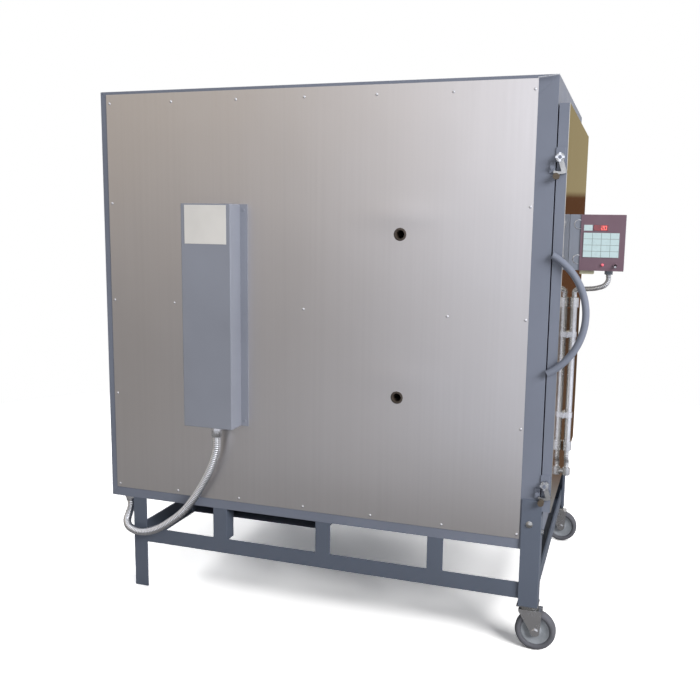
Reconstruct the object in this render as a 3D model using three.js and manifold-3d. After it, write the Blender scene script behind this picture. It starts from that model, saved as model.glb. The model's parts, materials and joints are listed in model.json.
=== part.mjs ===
// Front-loading electric kiln on a welded stand, in millimetres.
// X runs along the front from left to right, Y from the front to the rear, Z up from the floor.
import * as THREE from 'three';
import { mergeVertices } from 'three/addons/utils/BufferGeometryUtils.js';
import Module from 'manifold-3d';

const wasm = await Module();
wasm.setup();

// Body, over its panels
const bodyWidth = 864;
const bodyDepth = 1295;
const bodyHeight = 1204;
const groundClearance = 282;
const gap = 0.3;
const overrun = 5;

// Steel angle frame
const angleLeg = 50.8;
const angleWall = 4.8;
const frontPostLeg = 76.2;
const topFrontFlange = 85;
const bottomFrontFlange = 120;

// Stainless panels
const panelWall = 1;
const panelFrontMargin = 48.5;
const panelRearMargin = 20.7;
const panelTopMargin = 9.4;
const panelBottomMargin = 28;
const rearPanelMargin = 16;

// Firebrick lining and what it holds
const liningWall = 127;
const deckWall = 1.5;
const plugDepth = 92;
const plugGap = 3;
const plugTaper = 12;
const grooveSize = 16;
const grooveCount = 6;
const grooveLowRise = 60;
const grooveTopDrop = 151.7;
const elementRadius = 6;
const elementCornerRadius = 24;
const elementTurnRadius = 9;
const elementFrontReach = 102;
const terminalSpacing = 36;
const terminalReach = 27;
const peepholeBore = 22;
const peepholeWall = 6;
const peepholeProud = 1.5;
const peepholeSetback = 388.7;
const peepholeOverGroove = 39.5;
const probeRadius = 6;
const probeReach = 60;
const probeHeadSize = 40;
const probeHeadDepth = 20;

// Underfloor channel
const channelWidth = 440;
const channelDrop = 42;
const channelRearSetback = 247.5;

// Wiring box on the left side
const boxWidth = 152;
const boxHeight = 629;
const boxDepth = 60;
const boxWall = 1.5;
const boxRise = 259;
const boxRearSetback = 293.5;
const backPlateFlange = 22;
const backPlateWall = 2;
const wiringSlotWidth = 60;
const wiringSlotEnd = 40;
const plateScrewRise = 16;
const labelWidth = 128;
const labelHeight = 106;
const labelWall = 0.8;
const labelInset = 4;
const boxEntryShift = 12;
const terminalStripWidth = 92;
const terminalStripDepth = 18;
const terminalStripEnd = 22;

// Flexible conduit from the wiring box to the underside of the body
const conduitRadius = 12;
const conduitBore = 8.5;
const conduitRib = 1.2;
const conduitRibPitch = 8;
const nutRadius = 17;
const nutHeight = 14;
const floorEntryInset = 30;
const floorEntrySetback = 47;

// Stand
const standLeg = 44.45;
const standWall = 4.8;
const standRailRise = 145;
const rearLegInset = 75.5;
const strutSetbacks = [370.5, 695.5, 1022];
const strutFlangeEnds = [-1, 1, 1];
const boltOnLeg = 50.8;
const boltOnWall = 6.4;
const boltOnLap = 138;
const boltOnFrontLap = 94;
const boltHeadRadius = 6.5;
const boltHeadHeight = 5;
const sideBoltBack = 29.6;
const sideBoltRise = 72;
const frontBoltIn = 27.4;
const frontBoltRise = 46;

// Casters under the two front legs
const casterHeight = 127;
const casterPlateSize = 56;
const casterInset = 32;
const casterSetback = 26.7;
const casterPlateWall = 4;
const raceRadius = 23;
const kingpinRadius = 5;
const kingpinHeadRadius = 7;
const kingpinHeadHeight = 1.5;
const wheelRadius = 54;
const wheelWidth = 30;
const wheelTrail = 22;
const treadInset = 12;
const treadDish = 4;
const wheelTopGap = 1.2;
const hubRadius = 15;
const axleRadius = 4.8;
const axleHeadRadius = 9;
const axleHeadHeight = 5;
const forkWall = 3.2;
const forkTipRadius = 13;
const runningGap = 0.8;

// Screws in the panels
const screwRadius = 4;
const screwHeight = 1.6;
const screwSides = 6;
const sideScrewPitch = 201.3;
const sideScrewPitchUp = 282.7;
const sideScrewRearMargin = 10.4;
const sideScrewBottomMargin = 11;
const rearScrewColumns = 4;
const rearScrewRows = 4;
const topScrewRows = 5;
const topScrewColumns = 3;
const screwEdge = 12;

// Door
const doorLeftMargin = 1.6;
const doorRightMargin = 44;
const doorBottomRise = 108;
const doorTopDrop = 69;
const doorStandOff = 3;
const doorFrameDepth = 24.1;
const doorFrameWidth = 25.4;
const doorSkinWall = 1;
const sealWidth = 8;
const sealOffset = 2;
const hingeAxisOut = 16.5;
const hingeAxisIn = 28.7;
const barrelRadius = 9;
const knuckleLength = 46;
const hingePinRadius = 4.6;
const hingePinGap = 0.3;
const knuckleGap = 0.5;
const leafWall = 6;
const footWidth = 28;
const footWall = 5;
const hingeInset = 150;

// Bow handle
const handleRadius = 9;
const handleBend = 172;
const handleHalfSpread = 148;
const handleEndOut = 3.5;

// Side latches
const latchPivotOut = 8.5;
const lowerLatchRise = 74;
const upperLatchDrop = 129;
const latchPlateWidth = 22;
const latchPlateWall = 3;
const latchPlateTail = 24;
const pivotRadius = 4;
const pivotReach = 21;
const leverWall = 5;
const leverHubRadius = 11;
const leverArmWidth = 12;
const leverTabReach = 43;
const hookSlotRadius = 30;
const hookSlotWidth = 7.6;
const hookFingerWidth = 6;
const hookRootAngle = 107;
const hookTipAngle = 66;
const studAngle = 53;
const studRadius = 3.2;
const studHeadRadius = 5;
const studHeadWall = 3;
const keeperWidth = 14;
const keeperHeight = 26;
const keeperWall = 3;
const gripRadius = 8;
const gripLength = 14;
const gripReach = 46;
const gripAngle = 81;
const knobLobes = 4;
const knobReach = 11;
const knobWaist = 5.5;
const knobHubShare = 0.6;
const knobHeight = 10;

// Controller on the door
const controllerWidth = 141.6;
const controllerHeight = 147;
const controllerDepth = 75;
const controllerWall = 2;
const controllerSetIn = 174;
const controllerDrop = 263;
const facePlateWidth = 113;
const facePlateWall = 2;
const faceRim = 5;
const keypadWidth = 93.4;
const keypadHeight = 67;
const keypadOut = 13;
const keypadRise = 34;
const keypadWall = 0.9;
const displayWidth = 37;
const displayHeight = 15;
const displayOut = 43.3;
const displayRise = 105;
const displayWall = 0.8;
const lampRadius = 4;
const lampReach = 5;
const lampOut = 53.5;
const lampRise = 16;
const switchOut = 20.6;
const switchRise = 14.5;
const switchCollarRadius = 6.5;
const switchCollarHeight = 3;
const switchBore = 3.8;
const switchRadius = 2.3;
const switchReach = 13;
const switchTipRadius = 3;
const switchTilt = 13;
const boardMargin = 8;
const boardStandOff = 12;
const boardWall = 1.6;
const pillarRadius = 2.5;
const relaySize = 18;
const relayCount = 3;

// Conduit down the door
const doorTubeRadius = 9;
const doorTubeStandOff = 14;
const doorTubeInset = 290;
const doorTubeLow = 119;
const doorTubeDrop = 110;
const couplingRadius = 12.5;
const couplingHeight = 27;
const tailRadius = 7;
const tailBore = 4.5;
const tailRib = 0.8;
const tailRibPitch = 6;
const tailRise = 22;
const elbowRadius = 11;
const elbowShift = 22.7;
const strapWall = 2;
const strapWidth = 16;
const strapEar = 14;
const strapShares = [0.2, 0.8];
const whipOut = 38;
const whipBack = 55;
const whipNutHeight = 12;

const roundSides = 20;
const smallRoundSides = 12;
const wheelSides = 24;
const hexSides = 6;
const conduitSides = 8;
const elementSides = 6;
const bendSteps = 2;
const boreStep = 4;
const handlePoints = 9;
const handleSteps = 12;

// Faces worked out from the sizes above
const halfWidth = bodyWidth / 2;
const steelHalf = halfWidth - panelWall - gap;
const frontFace = -bodyDepth / 2;
const rearFace = bodyDepth / 2;
const steelRear = rearFace - panelWall - gap;
const bodyBottom = groundClearance;
const bodyTop = groundClearance + bodyHeight;
const steelTop = bodyTop - panelWall - gap;
const insideFrame = steelHalf - angleWall - gap;
const insideFront = frontFace + angleWall + gap;
const insideRear = steelRear - angleWall - gap;
const deckTop = bodyBottom + angleWall + gap + deckWall;
const liningBottom = deckTop + gap;
const liningTop = steelTop - angleWall - gap;
const chamberHalf = insideFrame - liningWall;
const chamberRear = insideRear - liningWall;
const chamberFloor = liningBottom + liningWall;
const chamberTop = liningTop - liningWall;
const boxY = rearFace - boxRearSetback - boxWidth / 2;
const boxLow = bodyBottom + boxRise;
const plateFace = -halfWidth - gap - backPlateWall;
const boxOuter = plateFace - gap - boxDepth;

// Geometry helpers

const range = (count) => [...Array(count).keys()];

// As many places as stated, evenly from one end to the other
function spread(from, to, count) {
  return range(count).map((i) => from + (to - from) * i / (count - 1));
}

// As many places at a pitch as fit on a run
function along(start, pitch, run) {
  return range(Math.floor(run / Math.abs(pitch)) + 1).map((i) => start + i * pitch);
}

function block(x0, x1, y0, y1, z0, z1) {
  const box = new THREE.BoxGeometry(x1 - x0, y1 - y0, z1 - z0);
  return box.translate((x0 + x1) / 2, (y0 + y1) / 2, (z0 + z1) / 2);
}

// A shape drawn in (Y, Z), (X, Z) or (X, Y) becomes a prism along x, y or z.
// A full circle in it gets as many sides as stated: a curve has two points for each segment.
function prism(axis, shape, from, to, sides = smallRoundSides) {
  const geometry = new THREE.ExtrudeGeometry(shape, {
    depth: to - from, bevelEnabled: false, curveSegments: sides / 2,
  });
  const x = new THREE.Vector3(1, 0, 0);
  const y = new THREE.Vector3(0, 1, 0);
  const z = new THREE.Vector3(0, 0, 1);
  const turn = new THREE.Matrix4();
  if (axis === 'x') turn.makeBasis(y, z, x).setPosition(from, 0, 0);
  if (axis === 'y') turn.makeBasis(x, z, y.clone().negate()).setPosition(0, to, 0);
  if (axis === 'z') turn.makeBasis(x, y, z).setPosition(0, 0, from);
  return geometry.applyMatrix4(turn);
}

// A round bar along an axis; a and b are its place on the other two axes, in order.
function bar(axis, radius, from, to, a, b, sides = roundSides, endRadius = radius) {
  const rod = new THREE.CylinderGeometry(endRadius, radius, to - from, sides);
  const middle = (from + to) / 2;
  if (axis === 'x') return rod.rotateZ(-Math.PI / 2).translate(middle, a, b);
  if (axis === 'y') return rod.translate(a, middle, b);
  return rod.rotateX(Math.PI / 2).translate(a, b, middle);
}

function polygon(points) {
  return new THREE.Shape(points.map(([u, v]) => new THREE.Vector2(u, v)));
}

function rectangle(u0, u1, v0, v1) {
  return polygon([[u0, v0], [u1, v0], [u1, v1], [u0, v1]]);
}

function ring(outer, inner) {
  outer.holes.push(inner);
  return outer;
}

function disc(radius, u = 0, v = 0) {
  const shape = new THREE.Shape();
  shape.absarc(u, v, radius, 0, 2 * Math.PI, false);
  return shape;
}

function solid(geometry) {
  const bare = new THREE.BufferGeometry();
  bare.setAttribute('position', geometry.getAttribute('position').clone());
  if (geometry.index) bare.setIndex(geometry.index.clone());
  const merged = mergeVertices(bare);
  return new wasm.Manifold(new wasm.Mesh({
    numProp: 3,
    vertProperties: new Float32Array(merged.attributes.position.array),
    triVerts: new Uint32Array(merged.index.array),
  }));
}

function geometryOf(manifold) {
  const { vertProperties, triVerts } = manifold.getMesh();
  const geometry = new THREE.BufferGeometry();
  geometry.setAttribute('position', new THREE.BufferAttribute(vertProperties, 3));
  geometry.setIndex(new THREE.BufferAttribute(triVerts, 1));
  return geometry;
}

function join(...pieces) {
  return geometryOf(pieces.map(solid).reduce((whole, piece) => whole.add(piece)));
}

function cut(base, ...tools) {
  return geometryOf(tools.map(solid).reduce((whole, tool) => whole.subtract(tool), solid(base)));
}

// A tube along a smooth route or a path of lines and arcs
function tube(path, radius, sides, steps) {
  return new THREE.ExtrudeGeometry(disc(radius), {
    extrudePath: path, steps, curveSegments: sides / 2, bevelEnabled: false,
  });
}

// A path of straight runs between corners, each [x, y, z, reach of its bend]
function roundedPath(corners) {
  const points = corners.map(([x, y, z]) => new THREE.Vector3(x, y, z));
  const path = new THREE.CurvePath();
  let from = points[0];
  for (const i of range(points.length - 2)) {
    const corner = points[i + 1];
    const reach = corners[i + 1][3];
    const before = points[i].clone().sub(corner).setLength(reach).add(corner);
    const after = points[i + 2].clone().sub(corner).setLength(reach).add(corner);
    path.add(new THREE.LineCurve3(from, before));
    path.add(new THREE.QuadraticBezierCurve3(before, corner, after));
    from = after;
  }
  path.add(new THREE.LineCurve3(from, points.at(-1)));
  return path;
}

// Stations of a sweep: a place, a direction and a radius
function pathStations(path, bendParts, radius) {
  const stations = [{ at: path.curves[0].getPoint(0), along: path.curves[0].getTangent(0), radius }];
  for (const curve of path.curves) {
    const parts = curve.isLineCurve3 ? 1 : bendParts;
    for (const i of range(parts)) {
      const share = (i + 1) / parts;
      stations.push({ at: curve.getPoint(share), along: curve.getTangent(share), radius });
    }
  }
  return stations;
}

// Crests and valleys of a ribbed hose, with a plain stretch at each end
function hoseStations(curve, radius, rib, pitch) {
  const length = curve.getLength();
  const ribs = Math.floor((length - 4 * radius) / pitch);
  const start = (length - ribs * pitch) / 2;
  const marks = range(2 * ribs + 1).map((i) => [start + i * pitch / 2, i % 2 ? radius : radius - rib]);
  return [[0, radius - rib], ...marks, [length, radius - rib]].map(([distance, across]) => ({
    at: curve.getPointAt(distance / length), along: curve.getTangentAt(distance / length), radius: across,
  }));
}

// A closed skin through stations. A bore leaves it open from end to end, with rings at every few stations.
function sweep(stations, sides, bore = 0, step = 1) {
  const first = stations[0].along;
  const steep = Math.abs(first.z) > Math.abs(first.x);
  const across = steep ? new THREE.Vector3(1, 0, 0) : new THREE.Vector3(0, 0, 1);
  const positions = [];
  const faces = [];
  const rings = stations.map(({ at, along, radius }) => {
    across.addScaledVector(along, -across.dot(along)).normalize();
    const up = new THREE.Vector3().crossVectors(along, across);
    return { at, radius, across: across.clone(), up };
  });
  const addRing = ({ at, across: a, up }, radius) => {
    const start = positions.length / 3;
    for (const i of range(sides)) {
      const turn = 2 * Math.PI * i / sides;
      const point = at.clone().addScaledVector(a, radius * Math.cos(turn));
      point.addScaledVector(up, radius * Math.sin(turn));
      positions.push(point.x, point.y, point.z);
    }
    return start;
  };
  const addBand = (lower, upper) => {
    for (const i of range(sides)) {
      const j = (i + 1) % sides;
      faces.push(lower + i, lower + j, upper + j, lower + i, upper + j, upper + i);
    }
  };
  const outer = rings.map((ringPlace) => addRing(ringPlace, ringPlace.radius));
  outer.slice(1).forEach((start, i) => addBand(outer[i], start));
  if (bore) {
    const kept = rings.filter((ringPlace, i) => i % step === 0 || i === rings.length - 1);
    const inner = kept.map((ringPlace) => addRing(ringPlace, bore));
    inner.slice(1).forEach((start, i) => addBand(start, inner[i]));
    addBand(inner[0], outer[0]);
    addBand(outer.at(-1), inner.at(-1));
  } else {
    const ends = [rings[0], rings.at(-1)].map(({ at }) => {
      positions.push(at.x, at.y, at.z);
      return positions.length / 3 - 1;
    });
    for (const i of range(sides)) {
      const j = (i + 1) % sides;
      faces.push(ends[0], outer[0] + j, outer[0] + i, ends[1], outer.at(-1) + i, outer.at(-1) + j);
    }
  }
  const geometry = new THREE.BufferGeometry();
  geometry.setAttribute('position', new THREE.Float32BufferAttribute(positions, 3));
  geometry.setIndex(faces);
  return geometry;
}

function smooth(points) {
  return new THREE.CatmullRomCurve3(points.map(([x, y, z]) => new THREE.Vector3(x, y, z)));
}

// Finishes

const greyPaint = () => new THREE.MeshStandardMaterial({ color: 0x70798a, roughness: 0.5, metalness: 0.1 });
const stainless = () => new THREE.MeshStandardMaterial({ color: 0xb9b4b0, roughness: 0.35, metalness: 1 });
const zinc = () => new THREE.MeshStandardMaterial({ color: 0xc3c6c8, roughness: 0.35, metalness: 1 });
const galvanized = () => new THREE.MeshStandardMaterial({ color: 0xb6b9bb, roughness: 0.4, metalness: 1 });
const firebrick = () => new THREE.MeshStandardMaterial({ color: 0xe6dcc6, roughness: 0.95, metalness: 0 });
const ceramic = () => new THREE.MeshStandardMaterial({ color: 0xe9e2d4, roughness: 0.7, metalness: 0 });
const fibre = () => new THREE.MeshStandardMaterial({ color: 0xe8e6df, roughness: 1, metalness: 0 });
const alloyWire = () => new THREE.MeshStandardMaterial({ color: 0x5b5550, roughness: 0.6, metalness: 0.8 });
const greyRubber = () => new THREE.MeshStandardMaterial({ color: 0x6a6a6e, roughness: 0.8, metalness: 0 });
const darkPlastic = () => new THREE.MeshStandardMaterial({ color: 0x3d3d34, roughness: 0.6, metalness: 0 });
const housingGrey = () => new THREE.MeshStandardMaterial({ color: 0x8d93a3, roughness: 0.5, metalness: 0 });
const maroonFace = () => new THREE.MeshStandardMaterial({ color: 0x5d3f52, roughness: 0.45, metalness: 0 });
const displayRed = () => new THREE.MeshStandardMaterial({ color: 0x8a0f1e, roughness: 0.15, metalness: 0 });
const lampRed = () => new THREE.MeshStandardMaterial({ color: 0xc8404a, roughness: 0.2, metalness: 0 });
const boardGreen = () => new THREE.MeshStandardMaterial({ color: 0x2f6b46, roughness: 0.5, metalness: 0 });

function place(parent, name, geometry, material) {
  const mesh = new THREE.Mesh(geometry, material);
  mesh.name = name;
  parent.add(mesh);
  return mesh;
}

function groupAt(parent, x, y, z) {
  const group = new THREE.Group();
  group.position.set(x, y, z);
  parent.add(group);
  return group;
}

// A group that turns about a point, whose pieces are still drawn in the kiln's own coordinates
function pivot(parent, x, y, z) {
  return groupAt(groupAt(parent, x, y, z), -x, -y, -z);
}

// Welded frame: side is -1 on the left and 1 on the right, end is -1 at the front and 1 at the rear.

function post(side, end) {
  const outX = side * steelHalf;
  const endY = end < 0 ? frontFace : steelRear;
  const leg = end < 0 ? frontPostLeg : angleLeg;
  const low = bodyBottom;
  const high = steelTop;
  const mitred = [
    [endY, low], [endY, high], [endY - end * angleLeg, high - angleLeg],
    [endY - end * angleLeg, high - angleLeg - gap], [endY - end * leg, high - angleLeg - gap],
    [endY - end * leg, low + angleLeg + gap], [endY - end * angleLeg, low + angleLeg + gap],
    [endY - end * angleLeg, low + angleLeg],
  ];
  const inX = outX - side * angleWall;
  const flange = prism('x', polygon(mitred), Math.min(outX, inX), Math.max(outX, inX));
  const tipX = outX - side * leg;
  const innerY = endY - end * angleWall;
  const face = block(
    Math.min(outX, tipX), Math.max(outX, tipX), Math.min(endY, innerY), Math.max(endY, innerY), low, high,
  );
  return join(flange, face);
}

// One side rail: its upright flange is mitred to the posts, its level flange carries the lining or the roof.
function sideRail(side, top) {
  const outX = side * steelHalf;
  const inX = outX - side * angleWall;
  const tipX = outX - side * angleLeg;
  const edge = top ? steelTop : bodyBottom;
  const down = top ? -1 : 1;
  const start = angleWall + gap;
  const outline = [
    [frontFace + start, edge], [steelRear - start, edge], [steelRear - start, edge + down * angleWall],
    [steelRear - angleLeg - gap, edge + down * angleLeg],
    [frontFace + angleLeg + gap, edge + down * angleLeg], [frontFace + start, edge + down * angleWall],
  ];
  const flange = prism('x', polygon(outline), Math.min(outX, inX), Math.max(outX, inX));
  const level = block(
    Math.min(outX, tipX), Math.max(outX, tipX), frontFace + start, steelRear - start,
    Math.min(edge, edge + down * angleWall), Math.max(edge, edge + down * angleWall),
  );
  return join(flange, level);
}

// One end rail: its upright flange fits between the posts, its level flange is welded to the side rails.
function endRail(end, top) {
  const reach = steelHalf - (end < 0 ? frontPostLeg : angleLeg) - gap;
  const weldReach = steelHalf - angleLeg + angleWall;
  const endY = end < 0 ? frontFace : steelRear;
  const innerY = endY - end * angleWall;
  const clearY = innerY - end * gap;
  const tipY = endY - end * angleLeg;
  const edge = top ? steelTop : bodyBottom;
  const down = top ? -1 : 1;
  const frontFlange = top ? topFrontFlange : bottomFrontFlange;
  const tall = end < 0 ? frontFlange : angleLeg;
  const levelLow = Math.min(edge, edge + down * angleWall);
  const levelHigh = Math.max(edge, edge + down * angleWall);
  return join(
    block(
      -reach, reach, Math.min(endY, innerY), Math.max(endY, innerY),
      Math.min(edge, edge + down * tall), Math.max(edge, edge + down * tall),
    ),
    block(-reach, reach, Math.min(endY, tipY), Math.max(endY, tipY), levelLow, levelHigh),
    block(-weldReach, weldReach, Math.min(clearY, tipY), Math.max(clearY, tipY), levelLow, levelHigh),
  );
}

function buildFrame(cabinet) {
  const keepers = latchHeights.map(latchKeeper);
  place(cabinet, 'frame_post_front_left', join(post(-1, -1), ...keepers), greyPaint());
  place(cabinet, 'frame_post_front_right', post(1, -1), greyPaint());
  place(cabinet, 'frame_post_rear_left', post(-1, 1), greyPaint());
  place(cabinet, 'frame_post_rear_right', post(1, 1), greyPaint());
  for (const top of [true, false]) {
    const rails = [sideRail(-1, top), sideRail(1, top), endRail(-1, top), endRail(1, top)];
    place(cabinet, `frame_ring_${top ? 'top' : 'bottom'}`, join(...rails), greyPaint());
  }
}

// Floor deck with the channel that hangs under it
function buildDeck(cabinet) {
  const deckLow = deckTop - deckWall;
  const channelHalf = steelHalf - angleLeg - gap;
  const rear = rearFace - channelRearSetback;
  const front = rear - channelWidth;
  const bottom = bodyBottom - channelDrop;
  const weld = deckLow + deckWall / 2;
  const section = polygon([
    [front, bottom], [rear, bottom], [rear, weld], [rear - deckWall, weld],
    [rear - deckWall, bottom + deckWall], [front + deckWall, bottom + deckWall],
    [front + deckWall, weld], [front, weld],
  ]);
  const deck = block(-insideFrame, insideFrame, insideFront, insideRear, deckLow, deckTop);
  const channel = prism('x', section, -channelHalf, channelHalf);
  place(cabinet, 'floor_deck', join(deck, channel), greyPaint());
}

// Lining. Grooves for the elements run round the left, rear and right walls at the same heights.

const grooveHeights = spread(chamberFloor + grooveLowRise, chamberTop - grooveTopDrop, grooveCount);
const elementDrop = grooveSize / 2 - elementRadius - gap;
const elementX = chamberHalf + grooveSize / 2;
const elementRear = chamberRear + grooveSize / 2;
const elementFront = insideFront + elementFrontReach;
const peepholeY = frontFace + peepholeSetback;
const peepholeHeights = [1, grooveCount - 2].map((level) => grooveHeights[level] + peepholeOverGroove);
const sleeveRadius = peepholeBore / 2 + peepholeWall;
// Each element takes two grooves, first the one nearer the middle of the wiring box, for its terminals.
const fromBoxMiddle = (level) => Math.abs(grooveHeights[level] - boxLow - boxHeight / 2);
const elementLoops = range(grooveCount / 2).map((i) => (
  [2 * i, 2 * i + 1].sort((a, b) => fromBoxMiddle(a) - fromBoxMiddle(b))
));
const terminalPlaces = elementLoops.map(([level]) => [-1, 1].map((end) => (
  [boxY + end * terminalSpacing / 2, grooveHeights[level] - elementDrop]
)));
const probeZ = (grooveHeights[elementLoops[1][0]] + grooveHeights[elementLoops[2][0]]) / 2;

// Section of a grooved wall, from its outer face at u0 to its hot face at u1
function groovedSection(u0, u1) {
  const back = u1 - Math.sign(u1 - u0) * grooveSize;
  const points = [[u0, chamberFloor + gap], [u1, chamberFloor + gap]];
  for (const z of grooveHeights) {
    const half = grooveSize / 2;
    points.push([u1, z - half], [back, z - half], [back, z + half], [u1, z + half]);
  }
  points.push([u1, chamberTop - gap], [u0, chamberTop - gap]);
  return polygon(points);
}

function groovedSide(side) {
  const section = groovedSection(side * insideFrame, side * chamberHalf);
  const wall = prism('y', section, insideFront, insideRear);
  const back = side * (chamberHalf + grooveSize);
  const face = side * (chamberHalf - overrun);
  const links = elementLoops.map((levels) => {
    const heights = levels.map((level) => grooveHeights[level]);
    return block(
      Math.min(back, face), Math.max(back, face),
      elementFront - grooveSize / 2, elementFront + grooveSize / 2,
      Math.min(...heights), Math.max(...heights),
    );
  });
  return cut(wall, ...links);
}

function wallHole(radius, y, z, sides) {
  return bar('x', radius + gap, boxOuter, -chamberHalf + overrun, y, z, sides);
}

function buildLining(cabinet) {
  const leftHoles = [
    ...peepholeHeights.map((z) => wallHole(sleeveRadius, peepholeY, z, roundSides)),
    ...terminalPlaces.flat().map(([y, z]) => wallHole(elementRadius, y, z, smallRoundSides)),
    wallHole(probeRadius, boxY, probeZ, smallRoundSides),
  ];
  const rearSection = groovedSection(insideRear, chamberRear);
  const rearWall = prism('x', rearSection, -chamberHalf + gap, chamberHalf - gap);
  const floor = block(-insideFrame, insideFrame, insideFront, insideRear, liningBottom, chamberFloor);
  const roof = block(-insideFrame, insideFrame, insideFront, insideRear, chamberTop, liningTop);
  place(cabinet, 'lining_wall_left', cut(groovedSide(-1), ...leftHoles), firebrick());
  place(cabinet, 'lining_wall_right', groovedSide(1), firebrick());
  place(cabinet, 'lining_wall_rear', rearWall, firebrick());
  place(cabinet, 'lining_roof', roof, firebrick());
  place(cabinet, 'lining_floor', floor, firebrick());
}

// Each element is one loop over two grooves. It goes from its first terminal round the rear to the
// front of the right wall, changes groove there, comes back round to the front of the left wall,
// changes groove again and ends at its second terminal.
function elementRoute([nearLevel, farLevel], [firstTerminal, lastTerminal]) {
  const near = grooveHeights[nearLevel] - elementDrop;
  const far = grooveHeights[farLevel] - elementDrop;
  const outside = -halfWidth - terminalReach;
  const turn = elementTurnRadius;
  const corner = elementCornerRadius;
  return roundedPath([
    [outside, lastTerminal[0], near, 0], [-elementX, lastTerminal[0], near, turn],
    [-elementX, elementRear, near, corner], [elementX, elementRear, near, corner],
    [elementX, elementFront, near, turn], [elementX, elementFront, far, turn],
    [elementX, elementRear, far, corner], [-elementX, elementRear, far, corner],
    [-elementX, elementFront, far, turn], [-elementX, elementFront, near, turn],
    [-elementX, firstTerminal[0], near, turn], [outside, firstTerminal[0], near, 0],
  ]);
}

function buildHeating(cabinet) {
  const names = ['low', 'middle', 'high'];
  elementLoops.forEach((levels, i) => {
    const route = elementRoute(levels, terminalPlaces[i]);
    const element = sweep(pathStations(route, bendSteps, elementRadius), elementSides);
    place(cabinet, `heating_element_${names[i]}`, element, alloyWire());
  });

  const seat = plateFace - gap;
  const stripFace = seat - terminalStripDepth;
  const half = terminalStripWidth / 2;
  const terminals = terminalPlaces.flat();
  const heights = terminals.map(([, z]) => z);
  const strip = block(
    stripFace, seat, boxY - half, boxY + half,
    Math.min(...heights) - terminalStripEnd, Math.max(...heights) + terminalStripEnd,
  );
  place(cabinet, 'terminal_strip', cut(
    strip, ...terminals.map(([y, z]) => wallHole(elementRadius, y, z, smallRoundSides)),
    wallHole(probeRadius, boxY, probeZ, smallRoundSides),
  ), ceramic());

  const headSeat = stripFace - gap;
  const probeRoot = headSeat - probeHeadDepth / 2;
  const probeTip = -chamberHalf + probeReach;
  const probe = join(
    bar('x', probeRadius, probeRoot, probeTip, boxY, probeZ, smallRoundSides),
    block(
      headSeat - probeHeadDepth, headSeat, boxY - probeHeadSize / 2, boxY + probeHeadSize / 2,
      probeZ - probeHeadSize / 2, probeZ + probeHeadSize / 2,
    ),
  );
  place(cabinet, 'thermocouple', probe, ceramic());

  peepholeHeights.forEach((z, i) => {
    const section = ring(disc(sleeveRadius, peepholeY, z), disc(peepholeBore / 2, peepholeY, z));
    const sleeve = prism('x', section, -halfWidth - peepholeProud, -chamberHalf, roundSides);
    place(cabinet, `peephole_sleeve_${i ? 'high' : 'low'}`, sleeve, ceramic());
  });
}

// Panels and their screws

const sidePanelFront = frontFace + panelFrontMargin;
const sidePanelRear = rearFace - panelRearMargin;
const panelLow = bodyBottom + panelBottomMargin;
const panelHigh = bodyTop - panelTopMargin;
const rearPanelHalf = halfWidth - rearPanelMargin;
const topPanelHalf = halfWidth - panelTopMargin;
const slotLow = boxLow + wiringSlotEnd;
const slotHigh = boxLow + boxHeight - wiringSlotEnd;

function wiringSlot() {
  return block(
    plateFace - overrun, -halfWidth + panelWall + overrun,
    boxY - wiringSlotWidth / 2, boxY + wiringSlotWidth / 2, slotLow, slotHigh,
  );
}

function sidePanel(side) {
  const outer = side * halfWidth;
  const inner = side * (halfWidth - panelWall);
  const [from, to] = [outer, inner].sort((a, b) => a - b);
  return block(from, to, sidePanelFront, sidePanelRear, panelLow, panelHigh);
}

// Places round the edge of a grid, each as [a, b]
function edgeGrid(columns, rows) {
  const onEdge = (i, list) => i === 0 || i === list.length - 1;
  return columns.flatMap((a, i) => (
    rows.filter((b, j) => onEdge(i, columns) || onEdge(j, rows)).map((b) => [a, b])
  ));
}

// Each panel carries the heads of the screws that hold it.

function sideScrews(side) {
  const rearmost = sidePanelRear - sideScrewRearMargin;
  const lowest = panelLow + sideScrewBottomMargin;
  const columns = along(rearmost, -sideScrewPitch, rearmost - sidePanelFront - screwRadius);
  const rows = along(lowest, sideScrewPitchUp, panelHigh - lowest - screwRadius);
  const middleRow = rows[Math.floor(rows.length / 2)];
  const inMiddle = columns.filter((y, i) => i % 2).map((y) => [y, middleRow]);
  const ends = [side * (halfWidth - panelWall / 2), side * (halfWidth + screwHeight)];
  const [from, to] = ends.sort((a, b) => a - b);
  return [...edgeGrid(columns, rows), ...inMiddle].map(([y, z]) => (
    bar('x', screwRadius, from, to, y, z, screwSides)
  ));
}

function rearScrews() {
  const columns = spread(-rearPanelHalf + screwEdge, rearPanelHalf - screwEdge, rearScrewColumns);
  const rows = spread(panelLow + screwEdge, panelHigh - screwEdge, rearScrewRows);
  return edgeGrid(columns, rows).map(([x, z]) => (
    bar('y', screwRadius, rearFace - panelWall / 2, rearFace + screwHeight, x, z, screwSides)
  ));
}

function topScrews() {
  const columns = spread(-topPanelHalf + screwEdge, topPanelHalf - screwEdge, topScrewColumns);
  const rows = spread(sidePanelFront + screwEdge, sidePanelRear - screwEdge, topScrewRows);
  return edgeGrid(columns, rows).map(([x, y]) => (
    bar('z', screwRadius, bodyTop - panelWall / 2, bodyTop + screwHeight, x, y, screwSides)
  ));
}

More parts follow.
